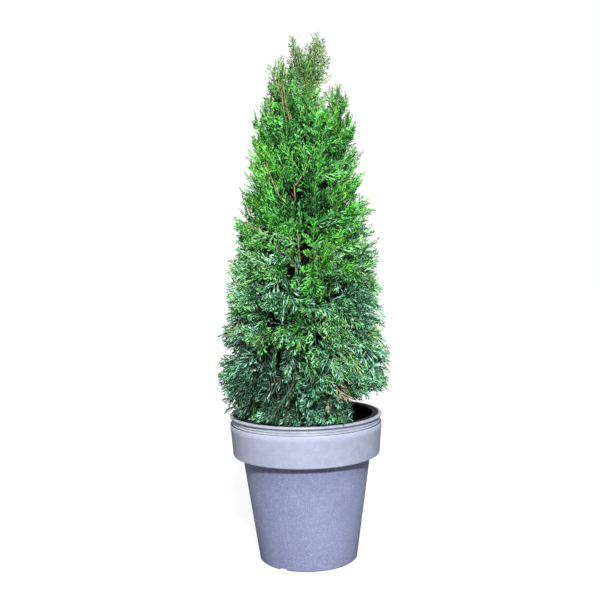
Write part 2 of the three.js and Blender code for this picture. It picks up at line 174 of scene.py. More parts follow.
def use_modifier(obj, kind, **settings):
    take(obj)
    bpy.ops.object.modifier_add(type=kind)
    modifier = obj.modifiers[-1]
    for name, value in settings.items():
        setattr(modifier, name, value)
    bpy.ops.object.modifier_apply(modifier=modifier.name)


def round_edges(obj, width):
    sharp = radians(28)
    use_modifier(obj, "BEVEL", width=width, segments=2, limit_method="ANGLE", angle_limit=sharp)


def mesh_from(name, points, faces, finish):
    """One mesh from the points and faces of many small things."""
    mesh = bpy.data.meshes.new(name)
    mesh.from_pydata(points, [], faces, shade_flat=False)
    mesh.materials.append(finish)
    obj = bpy.data.objects.new(name, mesh)
    bpy.context.scene.collection.objects.link(obj)
    return obj


def settle(obj, stands_for, smooth_below=40):
    """Puts the piece's place into its mesh, smooths it and gives it to the frame."""
    take(obj)
    bpy.ops.object.transform_apply(location=True, rotation=True, scale=True)
    if smooth_below:
        bpy.ops.object.shade_smooth_by_angle(angle=radians(smooth_below))
    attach(obj, "root")
    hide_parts(*stands_for)
    print("piece", obj.name, "-", len(obj.data.polygons), "faces")


# %% [markdown]
# Every finish has the same build. A node group turns its named colours and amounts into a colour, a
# roughness and a height, and a material puts those into its shader, the height as bump. All of it
# reads Object coordinates, so nothing has to be unwrapped.


# %% Helpers for finishes
class Group:
    """A node group that gives a colour, a roughness and a height, with short ways to wire it."""

    def __init__(self, name, colours, amounts=()):
        self.tree = bpy.data.node_groups.new(name, "ShaderNodeTree")
        self.sockets("INPUT", "Color", colours)
        self.sockets("INPUT", "Float", amounts)
        self.sockets("OUTPUT", "Color", ["Color"])
        self.sockets("OUTPUT", "Float", ["Roughness", "Height"])
        self.given = self.add("NodeGroupInput").outputs

    def sockets(self, way, kind, labels):
        for label in labels:
            self.tree.interface.new_socket(label, in_out=way, socket_type="NodeSocket" + kind)

    def add(self, kind, inputs=None, **settings):
        node = self.tree.nodes.new(kind)
        for name, value in settings.items():
            setattr(node, name, value)
        return wire(node, inputs or {})

    def math(self, operation, a, b, clamp=False):
        return self.add("ShaderNodeMath", {0: a, 1: b}, operation=operation, use_clamp=clamp).outputs[0]

    def plus(self, a, b):
        return self.math("ADD", a, b)

    def times(self, a, b, clamp=False):
        return self.math("MULTIPLY", a, b, clamp)

    def ramp(self, source, low, high):
        inputs = {"Value": source, "From Min": low, "From Max": high}
        return self.add("ShaderNodeMapRange", inputs, interpolation_type="SMOOTHSTEP").outputs["Result"]

    def blend(self, share, a, b):
        """Mixes two colours; a mix node keeps its colour sockets at these numbers."""
        return self.add("ShaderNodeMix", {0: share, 6: a, 7: b}, data_type="RGBA").outputs[2]

    def coordinates(self, stretch=(1, 1, 1)):
        place = self.add("ShaderNodeTexCoord").outputs["Object"]
        return self.add("ShaderNodeMapping", {"Vector": place, "Scale": stretch}).outputs["Vector"]

    def noise(self, vector, scale, detail, roughness=0.55):
        inputs = {"Vector": vector, "Scale": scale, "Detail": detail, "Roughness": roughness}
        return self.add("ShaderNodeTexNoise", inputs).outputs["Fac"]

    def give(self, colour, roughness, height):
        self.add("NodeGroupOutput", {"Color": colour, "Roughness": roughness, "Height": height})
        return self


def material_from(name, group, values, bump, depth, shine):
    """A material whose look comes from a group; the relief has a strength and a depth in metres."""
    material = bpy.data.materials.new(name)
    material.use_nodes = True
    nodes = material.node_tree.nodes
    effect = nodes.new("ShaderNodeGroup")
    effect.node_tree = group.tree
    look = wire(effect, values).outputs
    relief = wire(nodes.new("ShaderNodeBump"), {
        "Strength": bump, "Distance": depth, "Height": look["Height"],
    })
    wire(nodes["Principled BSDF"], {
        "Base Color": look["Color"], "Roughness": look["Roughness"],
        "Normal": relief.outputs["Normal"], "Specular IOR Level": shine,
    })
    return material


def srgb(red, green, blue):
    """A colour given as on a screen, 0 to 255, turned into the linear numbers that shaders use."""
    linear = [(v / 255) ** 2.2 for v in (red, green, blue)]
    return (*linear, 1.0)


# %% [markdown]
# Both pots are moulded plastic, shiny when new and chalky after some seasons outdoors. Up close the
# real planter is a cool lavender grey with pale grit like crushed stone in it, cloudy patches where
# it has bleached, and faint streaks where water has run down. Near the ground it is darker in
# patches. That is one effect with different amounts on the wall, the smoother collar and the
# grower's pot, whose inside is painted nearly black: painted shade.


# %% Weathered plastic
def weathered_plastic():
    group = Group(
        "weathered_plastic", ["Plastic", "Bleached", "Grime"],
        ["Bleaching", "Grit", "Streaks", "Foot darkening", "Roughness"],
    )
    given = group.given
    even = group.coordinates()
    clouds = group.ramp(group.noise(even, 5, 3), 0.34, 0.70)
    patches = group.ramp(group.noise(even, 60, 4, 0.7), 0.36, 0.70)
    runs = group.ramp(group.noise(group.coordinates((1, 1, 0.06)), 60, 2), 0.48, 0.74)
    fine = group.noise(even, 420, 2)
    grit = group.ramp(group.noise(even, 330, 1.5, 0.7), 0.52, 0.66)
    height = group.add("ShaderNodeSeparateXYZ", {"Vector": even}).outputs["Z"]
    near_ground = group.ramp(height, 0.20, 0.03)

    bleaching = group.times(group.plus(clouds, patches), given["Bleaching"], clamp=True)
    colour = group.blend(bleaching, given["Plastic"], given["Bleached"])
    streaks = group.times(runs, given["Streaks"], clamp=True)
    # darker towards the ground, in patches, over the lowest 20 cm
    foot_darkening = group.times(group.times(patches, near_ground), given["Foot darkening"], clamp=True)
    colour = group.blend(group.math("MAXIMUM", streaks, foot_darkening), colour, given["Grime"])
    colour = group.blend(group.times(grit, given["Grit"], clamp=True), colour, given["Bleached"])
    dust = group.plus(group.times(group.ramp(fine, 0.30, 0.42), -0.12), 0.12)
    colour = group.blend(dust, colour, given["Grime"])
    roughness = group.plus(group.times(clouds, 0.16), given["Roughness"])
    return group.give(colour, roughness, group.plus(group.times(fine, 0.5), group.times(patches, 0.5)))


PLASTIC = weathered_plastic()
wall_finish = material_from(
    "planter_wall_plastic", PLASTIC,
    {"Plastic": srgb(107, 112, 142), "Bleached": srgb(144, 150, 174), "Grime": srgb(88, 82, 126),
     "Bleaching": 0.22, "Grit": 0.62, "Streaks": 0.10, "Foot darkening": 0.5, "Roughness": 0.5},
    bump=0.25, depth=0.0006, shine=0.4,
)
collar_finish = material_from(
    "planter_collar_plastic", PLASTIC,
    {"Plastic": srgb(140, 145, 168), "Bleached": srgb(162, 167, 186), "Grime": srgb(108, 110, 140),
     "Bleaching": 0.4, "Grit": 0.35, "Streaks": 0.05, "Roughness": 0.42},
    bump=0.18, depth=0.0005, shine=0.32,
)
lip_finish = material_from(
    "grower_pot_plastic", PLASTIC,
    {"Plastic": srgb(132, 137, 153), "Bleached": srgb(160, 165, 177), "Grime": srgb(84, 84, 104),
     "Bleaching": 0.45, "Grit": 0.2, "Streaks": 0.12, "Roughness": 0.32},
    bump=0.15, depth=0.0005, shine=0.5,
)
# painted shade: the inside of the grower's pot is coloured nearly black for the shade inside it
painted_shade_finish = material_from(
    "painted_shade_plastic", PLASTIC,
    {"Plastic": srgb(26, 24, 32), "Bleached": srgb(44, 40, 50), "Grime": srgb(12, 10, 10),
     "Bleaching": 0.25, "Grit": 0.1, "Streaks": 0.9, "Roughness": 0.6},
    bump=0.3, depth=0.0008, shine=0.25,
)
print("plastic finishes made")

# %% [markdown]
# A pot is a turned shape, which grows here like clay on a wheel. A circle is laid down where its
# outline starts, and each further point of the outline extrudes that ring and resizes it. The
# outline goes up the outside, over the rim and down the inside, so the wall gets its real
# thickness on the way. The holes left in the middle of the floor are filled at the end.


# %% Turning a shape
def turned(name, outline, sides=160):
    """Turns an outline of (radius, height) points about the axis."""
    let_go()
    radius, height = outline[0]
    bpy.ops.mesh.primitive_circle_add(vertices=sides, radius=radius, location=(0, 0, height))
    obj = bpy.context.object
    obj.name = name
    bpy.ops.object.mode_set(mode="EDIT")
    bpy.ops.mesh.select_all(action="SELECT")
    for (old_radius, old_height), (radius, height) in zip(outline, outline[1:]):
        rise = (0, 0, height - old_height)
        bpy.ops.mesh.extrude_region_move(TRANSFORM_OT_translate={"value": rise})
        share = radius / old_radius
        bpy.ops.transform.resize(value=(share, share, 1), center_override=(0, 0, height))
    bpy.ops.mesh.select_all(action="SELECT")
    bpy.ops.mesh.fill_holes(sides=0)
    bpy.ops.mesh.select_all(action="SELECT")
    bpy.ops.mesh.normals_make_consistent(inside=False)
    bpy.ops.object.mode_set(mode="OBJECT")
    return obj


def dress(obj, finish, other_finish, gets_other):
    """Gives each face one of two finishes, chosen by its middle and its normal."""
    obj.data.materials.append(finish)
    obj.data.materials.append(other_finish)
    for face in obj.data.polygons:
        face.material_index = int(gets_other(face.center, face.normal))


# %% [markdown]
# The planter is one moulding 5 mm thick: a tapering wall, and round its top a broad collar that
# stands out from it by a finger's width. The outline goes up the wall, out under the collar, up its
# face and back down inside. Three shallow slots under the foot let water out, each cut with a cube
# and a Boolean modifier. The collar is smoother and paler than the wall, so it has its own finish.

# %% Planter
PLANTER_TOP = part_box("planter")[1].z
COLLAR_TOP_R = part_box("planter")[1].x
PLANTER_FOOT_R = 0.1285
WALL_TOP_R = 0.169
PLANTER_WALL = 0.005
PLANTER_FLOOR = 0.008
COLLAR_FOOT = 0.281
COLLAR_FOOT_R = 0.193
SLOT = {"width": 0.024, "height": 0.005, "depth": 0.014, "turn": radians(-122), "count": 3}
HOLE_R = 0.02  # of the hole in the middle of a floor, which is filled at the end


def wall_r(height):
    return PLANTER_FOOT_R + (WALL_TOP_R - PLANTER_FOOT_R) * height / COLLAR_FOOT


def make_planter():
    shelf = COLLAR_FOOT + PLANTER_WALL
    under = COLLAR_FOOT - 0.0015
    planter = turned("planter_shell", [
        (HOLE_R, 0.0015), (PLANTER_FOOT_R - 0.016, 0.0015), (PLANTER_FOOT_R - 0.014, 0.0),
        (PLANTER_FOOT_R - 0.003, 0.0), (wall_r(0.003), 0.003), (wall_r(0.1), 0.1), (wall_r(0.2), 0.2),
        (wall_r(under - 0.004), under - 0.004), (wall_r(COLLAR_FOOT) + 0.002, COLLAR_FOOT),
        (COLLAR_FOOT_R - 0.0045, COLLAR_FOOT), (COLLAR_FOOT_R - 0.001, COLLAR_FOOT + 0.0012),
        (COLLAR_FOOT_R + 0.0004, COLLAR_FOOT + 0.005),
        (COLLAR_TOP_R - 0.0012, PLANTER_TOP - 0.018), (COLLAR_TOP_R - 0.0004, PLANTER_TOP - 0.016),
        (COLLAR_TOP_R, PLANTER_TOP - 0.002), (COLLAR_TOP_R - 0.0008, PLANTER_TOP),
        (COLLAR_TOP_R - 0.0016, PLANTER_TOP), (COLLAR_TOP_R - PLANTER_WALL, PLANTER_TOP - 0.009),
        (COLLAR_FOOT_R - PLANTER_WALL, shelf), (wall_r(shelf) - PLANTER_WALL, shelf),
        (wall_r(PLANTER_FLOOR) - PLANTER_WALL, PLANTER_FLOOR), (HOLE_R, PLANTER_FLOOR),
    ])
    for number in range(SLOT["count"]):
        turn = SLOT["turn"] + 2 * pi * number / SLOT["count"]
        let_go()
        bpy.ops.mesh.primitive_cube_add(
            size=2, location=(PLANTER_FOOT_R * cos(turn), PLANTER_FOOT_R * sin(turn), 0),
            rotation=(0, 0, turn), scale=(SLOT["depth"], SLOT["width"] / 2, SLOT["height"]),
        )
        cutter = bpy.context.object
        use_modifier(planter, "BOOLEAN", operation="DIFFERENCE", object=cutter, solver="EXACT")
        bpy.data.objects.remove(cutter)
    round_edges(planter, 0.0006)
    dress(planter, wall_finish, collar_finish, lambda at, facing: at.z > COLLAR_FOOT + 0.001)
    settle(planter, ["planter"])


make_planter()

# %% [markdown]
# The grower's pot hangs inside, and only its top shows: a broad smooth lip, a neck with two
# shallow grooves round it, and a thin bead that stands up just inside the planter's collar. The
# dark line between the bead and the collar is real air. The faces that look inwards below the lip
# get a nearly black finish, which is painted shade.

# %% Grower's pot
LIP_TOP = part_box("liner")[1].z
LIP_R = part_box("liner")[1].x
LINER_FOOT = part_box("liner")[0].z
LIP_INNER_R = 0.175
LIP_EDGE = 0.0036  # radius of its rounded edge
LINER_WALL = 0.003
LINER_FOOT_R = 0.116
LINER_SHOULDER_R = 0.1605
SHOULDER = COLLAR_FOOT + PLANTER_WALL - 0.001
LINER_NECK_R = 0.190
BEAD_R = 0.1950
BEAD_FOOT = PLANTER_TOP - 0.0006
BEAD_TOP = BEAD_FOOT + 0.0048
NECK_R = 0.1944
NECK_TOP = LIP_TOP - 0.0075
NECK_GROOVES = 2
GROOVE_DEPTH = 0.0020


def liner_r(height):
    if height < SHOULDER:
        share = (height - LINER_FOOT) / (SHOULDER - LINER_FOOT)
        return LINER_FOOT_R + (LINER_SHOULDER_R - LINER_FOOT_R) * share
    share = (height - SHOULDER) / (BEAD_FOOT - SHOULDER)
    return LINER_SHOULDER_R + (LINER_NECK_R - LINER_SHOULDER_R) * share


def make_liner():
    step = (NECK_TOP - BEAD_TOP) / NECK_GROOVES
    neck = []
    for number in range(NECK_GROOVES):
        for depth, share in ((GROOVE_DEPTH, 0.06), (GROOVE_DEPTH, 0.30), (0, 0.42), (0, 0.94)):
            neck.append((NECK_R - depth, BEAD_TOP + step * number + share * step))
    lip = []
    for turn in (pi * corner / 6 - pi / 2 for corner in range(7)):
        out, up = LIP_EDGE * cos(turn), LIP_EDGE * sin(turn)
        lip.append((LIP_R - LIP_EDGE + out, LIP_TOP - 0.0038 + up))
    liner = turned("liner_pot", [
        (HOLE_R, LINER_FOOT), (LINER_FOOT_R, LINER_FOOT), (LINER_SHOULDER_R, SHOULDER),
        (LINER_NECK_R, BEAD_FOOT), (BEAD_R - 0.0008, BEAD_FOOT), (BEAD_R, BEAD_FOOT + 0.001),
        (BEAD_R, BEAD_TOP - 0.001), (BEAD_R - 0.0012, BEAD_TOP), *neck, *lip,
        (LIP_R - 0.008, LIP_TOP), (LIP_INNER_R + 0.002, LIP_TOP - 0.0004),
        (LIP_INNER_R, LIP_TOP - 0.002), (LIP_INNER_R + 0.0008, LIP_TOP - 0.005),
        (liner_r(BEAD_FOOT) - LINER_WALL, BEAD_FOOT), (LINER_SHOULDER_R - LINER_WALL, SHOULDER),
        (LINER_FOOT_R - LINER_WALL, LINER_FOOT + LINER_WALL), (HOLE_R, LINER_FOOT + LINER_WALL),
    ])
    round_edges(liner, 0.0004)

    # painted shade on the faces that look inwards below the lip
    def in_painted_shade(at, facing):
        return facing.x * at.x + facing.y * at.y < 0 and at.z < LIP_TOP - 0.0015

    dress(liner, lip_finish, painted_shade_finish, in_painted_shade)
    settle(liner, ["liner"])


make_liner()

# %% [markdown]
# The potting mix is peat and bark: nearly black, matt and lumpy. Its surface is turned like the
# pots, with many rings on top, which smooth noise then pushes up and down. Hundreds of loose crumbs
# lie on it. One icosphere is the model for all, and arrays squash, turn and join its copies.

# %% Potting mix
SOIL_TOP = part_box("soil")[1].z
SOIL_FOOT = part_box("soil")[0].z
SOIL_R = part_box("soil")[1].x
SOIL_INSET = 0.0036  # from the outside of the grower's pot
SOIL_RINGS = 18
CRUMBS = 900


def crumbly_soil():
    group = Group("crumbly_soil", ["Peat", "Bark chips"])
    even = group.coordinates()
    lumps = group.noise(even, 90, 4, 0.65)
    chips = group.ramp(group.noise(even, 160, 2), 0.56, 0.70)
    colour = group.blend(chips, group.given["Peat"], group.given["Bark chips"])
    return group.give(colour, group.plus(group.times(lumps, 0.2), 0.78), lumps)


soil_finish = material_from(
    "potting_mix", crumbly_soil(), {"Peat": srgb(30, 24, 20), "Bark chips": srgb(66, 48, 36)},
    bump=0.8, depth=0.004, shine=0.2,
)


def make_soil():
    rings = [(SOIL_R * (1 - step / SOIL_RINGS), SOIL_TOP) for step in range(SOIL_RINGS)]
    soil = turned("potting_mix", [
        (HOLE_R, SOIL_FOOT), (liner_r(SOIL_FOOT) - SOIL_INSET, SOIL_FOOT),
        (LINER_SHOULDER_R - SOIL_INSET, SHOULDER), *rings,
    ], sides=72)
    for vertex in soil.data.vertices:
        if vertex.co.z > SOIL_TOP - 1e-5:
            mound = noise.fractal(vertex.co * 26, 1.0, 2.0, 3)
            vertex.co.z -= 0.003 - 0.0042 * mound
    soil.data.materials.append(soil_finish)
    settle(soil, ["soil"])


def make_crumbs():
    rng = np.random.default_rng(41)
    let_go()
    bpy.ops.mesh.primitive_ico_sphere_add(subdivisions=1, radius=1)
    model = bpy.context.object
    ball = np.array([v.co for v in model.data.vertices])
    triangles = np.array([list(face.vertices) for face in model.data.polygons])
    bpy.data.objects.remove(model)
    turn = rng.uniform(0, 2 * pi, CRUMBS)
    reach = (SOIL_R - 0.006) * np.sqrt(rng.uniform(0.03, 1, CRUMBS))
    size = rng.uniform(0.0012, 0.0042, (CRUMBS, 1, 3)) * np.array([1.3, 1.0, 0.6])
    middle = np.stack([reach * np.cos(turn), reach * np.sin(turn), np.full(CRUMBS, SOIL_TOP - 0.001)], 1)
    lumpy = ball[None] * size * rng.uniform(0.7, 1.15, (CRUMBS, len(ball), 1))
    spin = rng.uniform(0, pi, (CRUMBS, 1))
    x = lumpy[..., 0] * np.cos(spin) - lumpy[..., 1] * np.sin(spin)
    y = lumpy[..., 0] * np.sin(spin) + lumpy[..., 1] * np.cos(spin)
    points = np.stack([x, y, lumpy[..., 2]], 2) + middle[:, None]
    faces = triangles[None] + len(ball) * np.arange(CRUMBS)[:, None, None]
    crumbs = mesh_from("soil_crumbs", points.reshape(-1, 3), faces.reshape(-1, 3), soil_finish)
    settle(crumbs, ["soil"], smooth_below=0)


make_soil()
make_crumbs()

# %% [markdown]
# Now the tree. The frame deals the crown into eight cup-shaped tiers, each steeper than the one
# below, and each tier into equal sectors. Every sector has one limb that leaves the trunk at the
# middle of its tier and swings up. The same rule is written again here in metres, because the
# finer twigs have to grow from the same limbs and stay within the same reach.

# %% The crown's rule
TREE_TOP = CAD_BOX[1][2]
TRUNK_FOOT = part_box("trunk")[0].z
TRUNK_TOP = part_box("trunk")[1].z
TOP_LEAN = 0.024
LEAN_POWER = 2.6
TRUNK_R = 0.013
TRUNK_TIP_R = 0.002
FLARE = {"radius": 0.010, "height": 0.024, "lobes": 5, "share": 0.3}
CROWN_FOOT_R = 0.209
CROWN_R = 0.231
CROWN_WIDEST = 0.480
CROWN_CLOSES = 1.384
CROWN_CLOSING_POWER = 0.47
TIER_COUNTS = [7, 6, 6, 5, 5, 4, 3, 2]
TIER_TURNS = [0, 0.28, 0.92, 0.2, 0.84, 0.08, 0.36, 0.36]
CUP_FIRST = 0.430
CUP_STEP = 0.086
LIMB_REACH = 0.78
UP = Vector((0, 0, 1))


def mix(a, b, t):
    return a + (b - a) * t


def clamp(value):
    return min(1, max(0, value))


def level(turn, rise=0):
    """A vector one unit long on the level, towards a bearing, and climbing by `rise`."""
    return Vector((cos(turn), sin(turn), rise))


def arch(foot, knee, tip, t):
    """A point of the arch from foot to tip that leans towards the knee."""
    return foot * (1 - t) ** 2 + knee * 2 * t * (1 - t) + tip * t * t


def axis_x(height):
    rise = max(0.0, (height - SOIL_TOP) / (TREE_TOP - SOIL_TOP))
    return TOP_LEAN * rise ** LEAN_POWER


def trunk_r(height):
    rise = (height - TRUNK_FOOT) / (TRUNK_TOP - TRUNK_FOOT)
    taper = TRUNK_TIP_R + (TRUNK_R - TRUNK_TIP_R) * (1 - rise)
    return taper + FLARE["radius"] * exp(-(height - TRUNK_FOOT) / FLARE["height"])


def crown_r(height):
    """How far the crown reaches from its axis at a height."""
    if height < CROWN_WIDEST:
        t = clamp((height - LIP_TOP) / (CROWN_WIDEST - LIP_TOP))
        return mix(CROWN_FOOT_R, CROWN_R, sin(pi / 2 * t))
    left = clamp((CROWN_CLOSES - height) / (CROWN_CLOSES - CROWN_WIDEST))
    return CROWN_R * left ** CROWN_CLOSING_POWER


def cup(number):
    """The surface between two tiers: its height on the axis, and how steeply it rises outwards."""
    base = CUP_FIRST + CUP_STEP * number + 0.0022 * number * abs(number)
    slope = 0.45 + copysign(0.11 * abs(number) ** 1.4, number)
    return base, slope


def rim_of(base, slope):
    """The height at which a cup meets the crown's outline."""
    height = base
    for _ in range(40):
        height = mix(height, base + slope * crown_r(height), 0.5)
    return height


def polar(turn, reach, height):
    return Vector((axis_x(height) + reach * cos(turn), reach * sin(turn), height))


class Sector:
    """One sector of one tier: its bearing, the cups that bound it, and its limb."""

    def __init__(self, tier, number):
        self.tier = tier
        self.half = pi / TIER_COUNTS[tier]
        self.turn = 2 * self.half * (number + TIER_TURNS[tier]) - pi / 2
        lower, upper = cup(tier - 1), cup(tier)
        self.base = mix(lower[0], upper[0], 0.5)
        self.slope = mix(lower[1], upper[1], 0.5)
        self.low = LIP_TOP + 0.008 if tier == 0 else rim_of(*lower)
        self.high = TREE_TOP if tier == len(TIER_COUNTS) - 1 else rim_of(*upper)
        self.reach = LIMB_REACH * crown_r(rim_of(self.base, self.slope))

    def limb(self, t):
        """A point of the sector's limb, from the trunk at 0 to its end at 1."""
        reach = self.reach * t
        lift = 0.12 * CUP_STEP * sin(pi * t)
        return polar(self.turn, reach, self.base + self.slope * reach - lift)

    def seat(self, sideways, reach):
        """A point halfway between the cups, by shares of the half width and of the crown's reach."""
        r = reach * crown_r(mix(self.low, self.high, 0.5))
        return polar(self.turn + self.half * sideways, r, self.base + self.slope * r)


SECTORS = [Sector(tier, number) for tier, count in enumerate(TIER_COUNTS) for number in range(count)]
print("crown:", len(SECTORS), "sectors")

# %% [markdown]
# Thuja bark is thin, grey-brown outside and reddish in the cracks, and peels in long narrow strips.
# They are real relief on the mesh: a limb starts as a cylinder with many rings, its points are
# carried along the limb's path, and each is pushed in or out by noise that is stretched along the
# limb. Finer fibres are bump in the material.


# %% Bark
def stringy_bark():
    group = Group("stringy_bark", ["Ridges", "Cracks"])
    strips = group.noise(group.coordinates((1, 1, 0.08)), 260, 3, 0.6)
    patches = group.noise(group.coordinates(), 24, 2)
    share = group.ramp(group.plus(group.times(patches, 0.3), strips), 0.50, 0.82)
    colour = group.blend(share, group.given["Cracks"], group.given["Ridges"])
    return group.give(colour, group.plus(group.times(strips, 0.2), 0.7), strips)


BARK = stringy_bark()
bark_finish = material_from(
    "thuja_bark", BARK, {"Ridges": srgb(118, 100, 82), "Cracks": srgb(60, 46, 38)},
    bump=0.7, depth=0.0015, shine=0.25,
)
twig_finish = material_from(
    "twig_bark", BARK, {"Ridges": srgb(150, 136, 98), "Cracks": srgb(92, 78, 54)},
    bump=0.3, depth=0.0006, shine=0.3,
)


def barked_limb(name, path, radius_at, sides, rings, relief, lobes=None, finish=bark_finish):
    """A limb along a path from 0 to 1, with stringy relief of about that share of its radius."""
    let_go()
    bpy.ops.mesh.primitive_cylinder_add(vertices=sides, radius=1, depth=1, end_fill_type="TRIFAN")
    obj = bpy.context.object
    obj.name = name
    for edge in obj.data.edges:
        foot, top = (obj.data.vertices[i].co for i in edge.vertices)
        edge.select = abs(foot.z - top.z) > 0.5  # the long edges, which are cut into rings
    for face in obj.data.polygons:
        face.select = False
    bpy.context.tool_settings.mesh_select_mode = (False, True, False)
    bpy.ops.object.mode_set(mode="EDIT")
    bpy.ops.mesh.subdivide(number_cuts=rings - 1)
    bpy.ops.object.mode_set(mode="OBJECT")
    start = path(0)
    run = path(1) - start
    across = run.cross(UP)
    across = across.normalized() if across.length > 0.3 * run.length else Vector((0, 1, 0))
    for vertex in obj.data.vertices:
        t = vertex.co.z + 0.5
        turn = atan2(vertex.co.y, vertex.co.x)
        out = hypot(vertex.co.x, vertex.co.y)
        along = (path(min(1, t + 0.01)) - path(max(0, t - 0.01))).normalized()
        second = along.cross(across).normalized()
        first = second.cross(along)
        coarse = Vector((2.2 * cos(turn), 2.2 * sin(turn), 14 * t * run.length))
        fine = Vector((6 * cos(turn), 6 * sin(turn), 30 * t * run.length))
        strip = noise.noise(coarse + start * 50) + 0.5 * noise.noise(fine)
        radius = radius_at(t) * out * (1 + relief * strip)
        if lobes:
            radius *= lobes(t, turn)
        vertex.co = path(t) + radius * (cos(turn) * first + sin(turn) * second)
    obj.data.materials.append(finish)
    return obj


# %% Trunk and boughs
BOUGH_TIERS = [1, 2, 4]
BOUGH_SHARE = 0.42  # of a limb; the rest of it is foliage
BOUGH_R = 0.0055
BOUGH_TIP_R = 0.0036


def trunk_height(t):
    return mix(TRUNK_FOOT, TRUNK_TOP, t ** 1.4)


def flare_lobes(t, turn):
    fade = exp(-(trunk_height(t) - TRUNK_FOOT) / FLARE["height"])
    return 1 + FLARE["share"] * fade * cos(FLARE["lobes"] * turn)


def bough(sector):
    foot_r = min(BOUGH_R, 0.5 * trunk_r(sector.base))
    return barked_limb(
        "bough", lambda t: sector.limb(t * BOUGH_SHARE), lambda t: mix(foot_r, BOUGH_TIP_R, t),
        sides=12, rings=26, relief=0.14,
    )


trunk = barked_limb(
    "trunk_bark",
    lambda t: Vector((axis_x(trunk_height(t)), 0, trunk_height(t))),
    lambda t: trunk_r(trunk_height(t)), sides=22, rings=150, relief=0.16, lobes=flare_lobes,
)
settle(trunk, ["trunk"], smooth_below=70)
limbs = [bough(sector) for sector in SECTORS if sector.tier in BOUGH_TIERS]

# %% [markdown]
# Between the plumes of the front some bare side stems show, tan and no thicker than 4 mm: a few
# that part near the middle of the tree, and a forked one low down, darker as painted shade. They
# are made like the boughs, only thinner, and joined with them.

# %% Bare side stems
BARE_STEMS = [  # the foot and the top of each
    ((-0.006, -0.118, 0.790), (-0.022, -0.082, 1.160)),
    ((-0.012, -0.104, 0.980), (0.036, -0.104, 1.080)),
    ((-0.040, -0.128, 0.930), (-0.084, -0.124, 1.040)),
    ((0.054, -0.078, 1.050), (0.080, -0.046, 1.170)),
    ((-0.020, -0.086, 1.130), (-0.040, -0.050, 1.250)),
    ((-0.052, -0.140, 0.405), (-0.024, -0.176, 0.540)),
    ((-0.052, -0.140, 0.405), (-0.078, -0.178, 0.520)),
    ((-0.020, -0.040, 1.080), (-0.046, -0.044, 1.240)),
    ((0.030, 0.070, 0.800), (0.050, 0.086, 1.120)),
    ((-0.060, 0.130, 0.480), (-0.090, 0.140, 0.640)),
]
LOW_STEM = 0.6  # stems that start below it get the darker bark, as painted shade
STEM_R = 0.0019
STEM_TIP_R = 0.0009


def bare_stem(foot, top):
    foot, top = Vector(foot), Vector(top)
    sag = Vector((top.x - foot.x, top.y - foot.y, 0)) * 0.5
    return barked_limb(
        "side_stem", lambda t: foot.lerp(top, t) + sag * t * (1 - t),
        lambda t: mix(STEM_R, STEM_TIP_R, t), sides=10, rings=22, relief=0.14,
        # painted shade: the low stems take the darker trunk bark
        finish=twig_finish if foot.z > LOW_STEM else bark_finish,
    )


limbs += [bare_stem(foot, top) for foot, top in BARE_STEMS]
take(limbs[0])
for limb in limbs:
    limb.select_set(True)
bpy.ops.object.join()
limbs[0].name = "bough_bark"
settle(limbs[0], BOUGHS, smooth_below=70)

# %% [markdown]
# A thuja spray looks like a flat fern: an axis, side shoots alternating left and right, and each of
# them forked again in the same plane. Every shoot is a strand of scale leaves, and a fork soon runs
# beside the shoot that it left. The scales are too small to model, so a strand is a chain of narrow
# kites folded along their middle. Each strand is rolled out of the spray's plane by its own amount,
# so that it catches the light in its own way. The plan of a spray is drawn once, one unit long,
# with its centre lines apart from its widths, so a longer spray doesn't get wider strands. There
# are a few plans of each kind: ferny ones for the low boughs, narrower plumes for the upper ones,
# open antlers for the tips of the top, and coarse ones for the dark inside.

# %% The plan of a spray
PLAN_RNG = np.random.default_rng(7)
PLANS = []
FOLD = 0.35
KITE_LENGTH = 0.14  # of a spray's length
FORKS = 2  # on a shoot of full length
BROKEN_SHARE = 0.06  # of the shoots are broken short


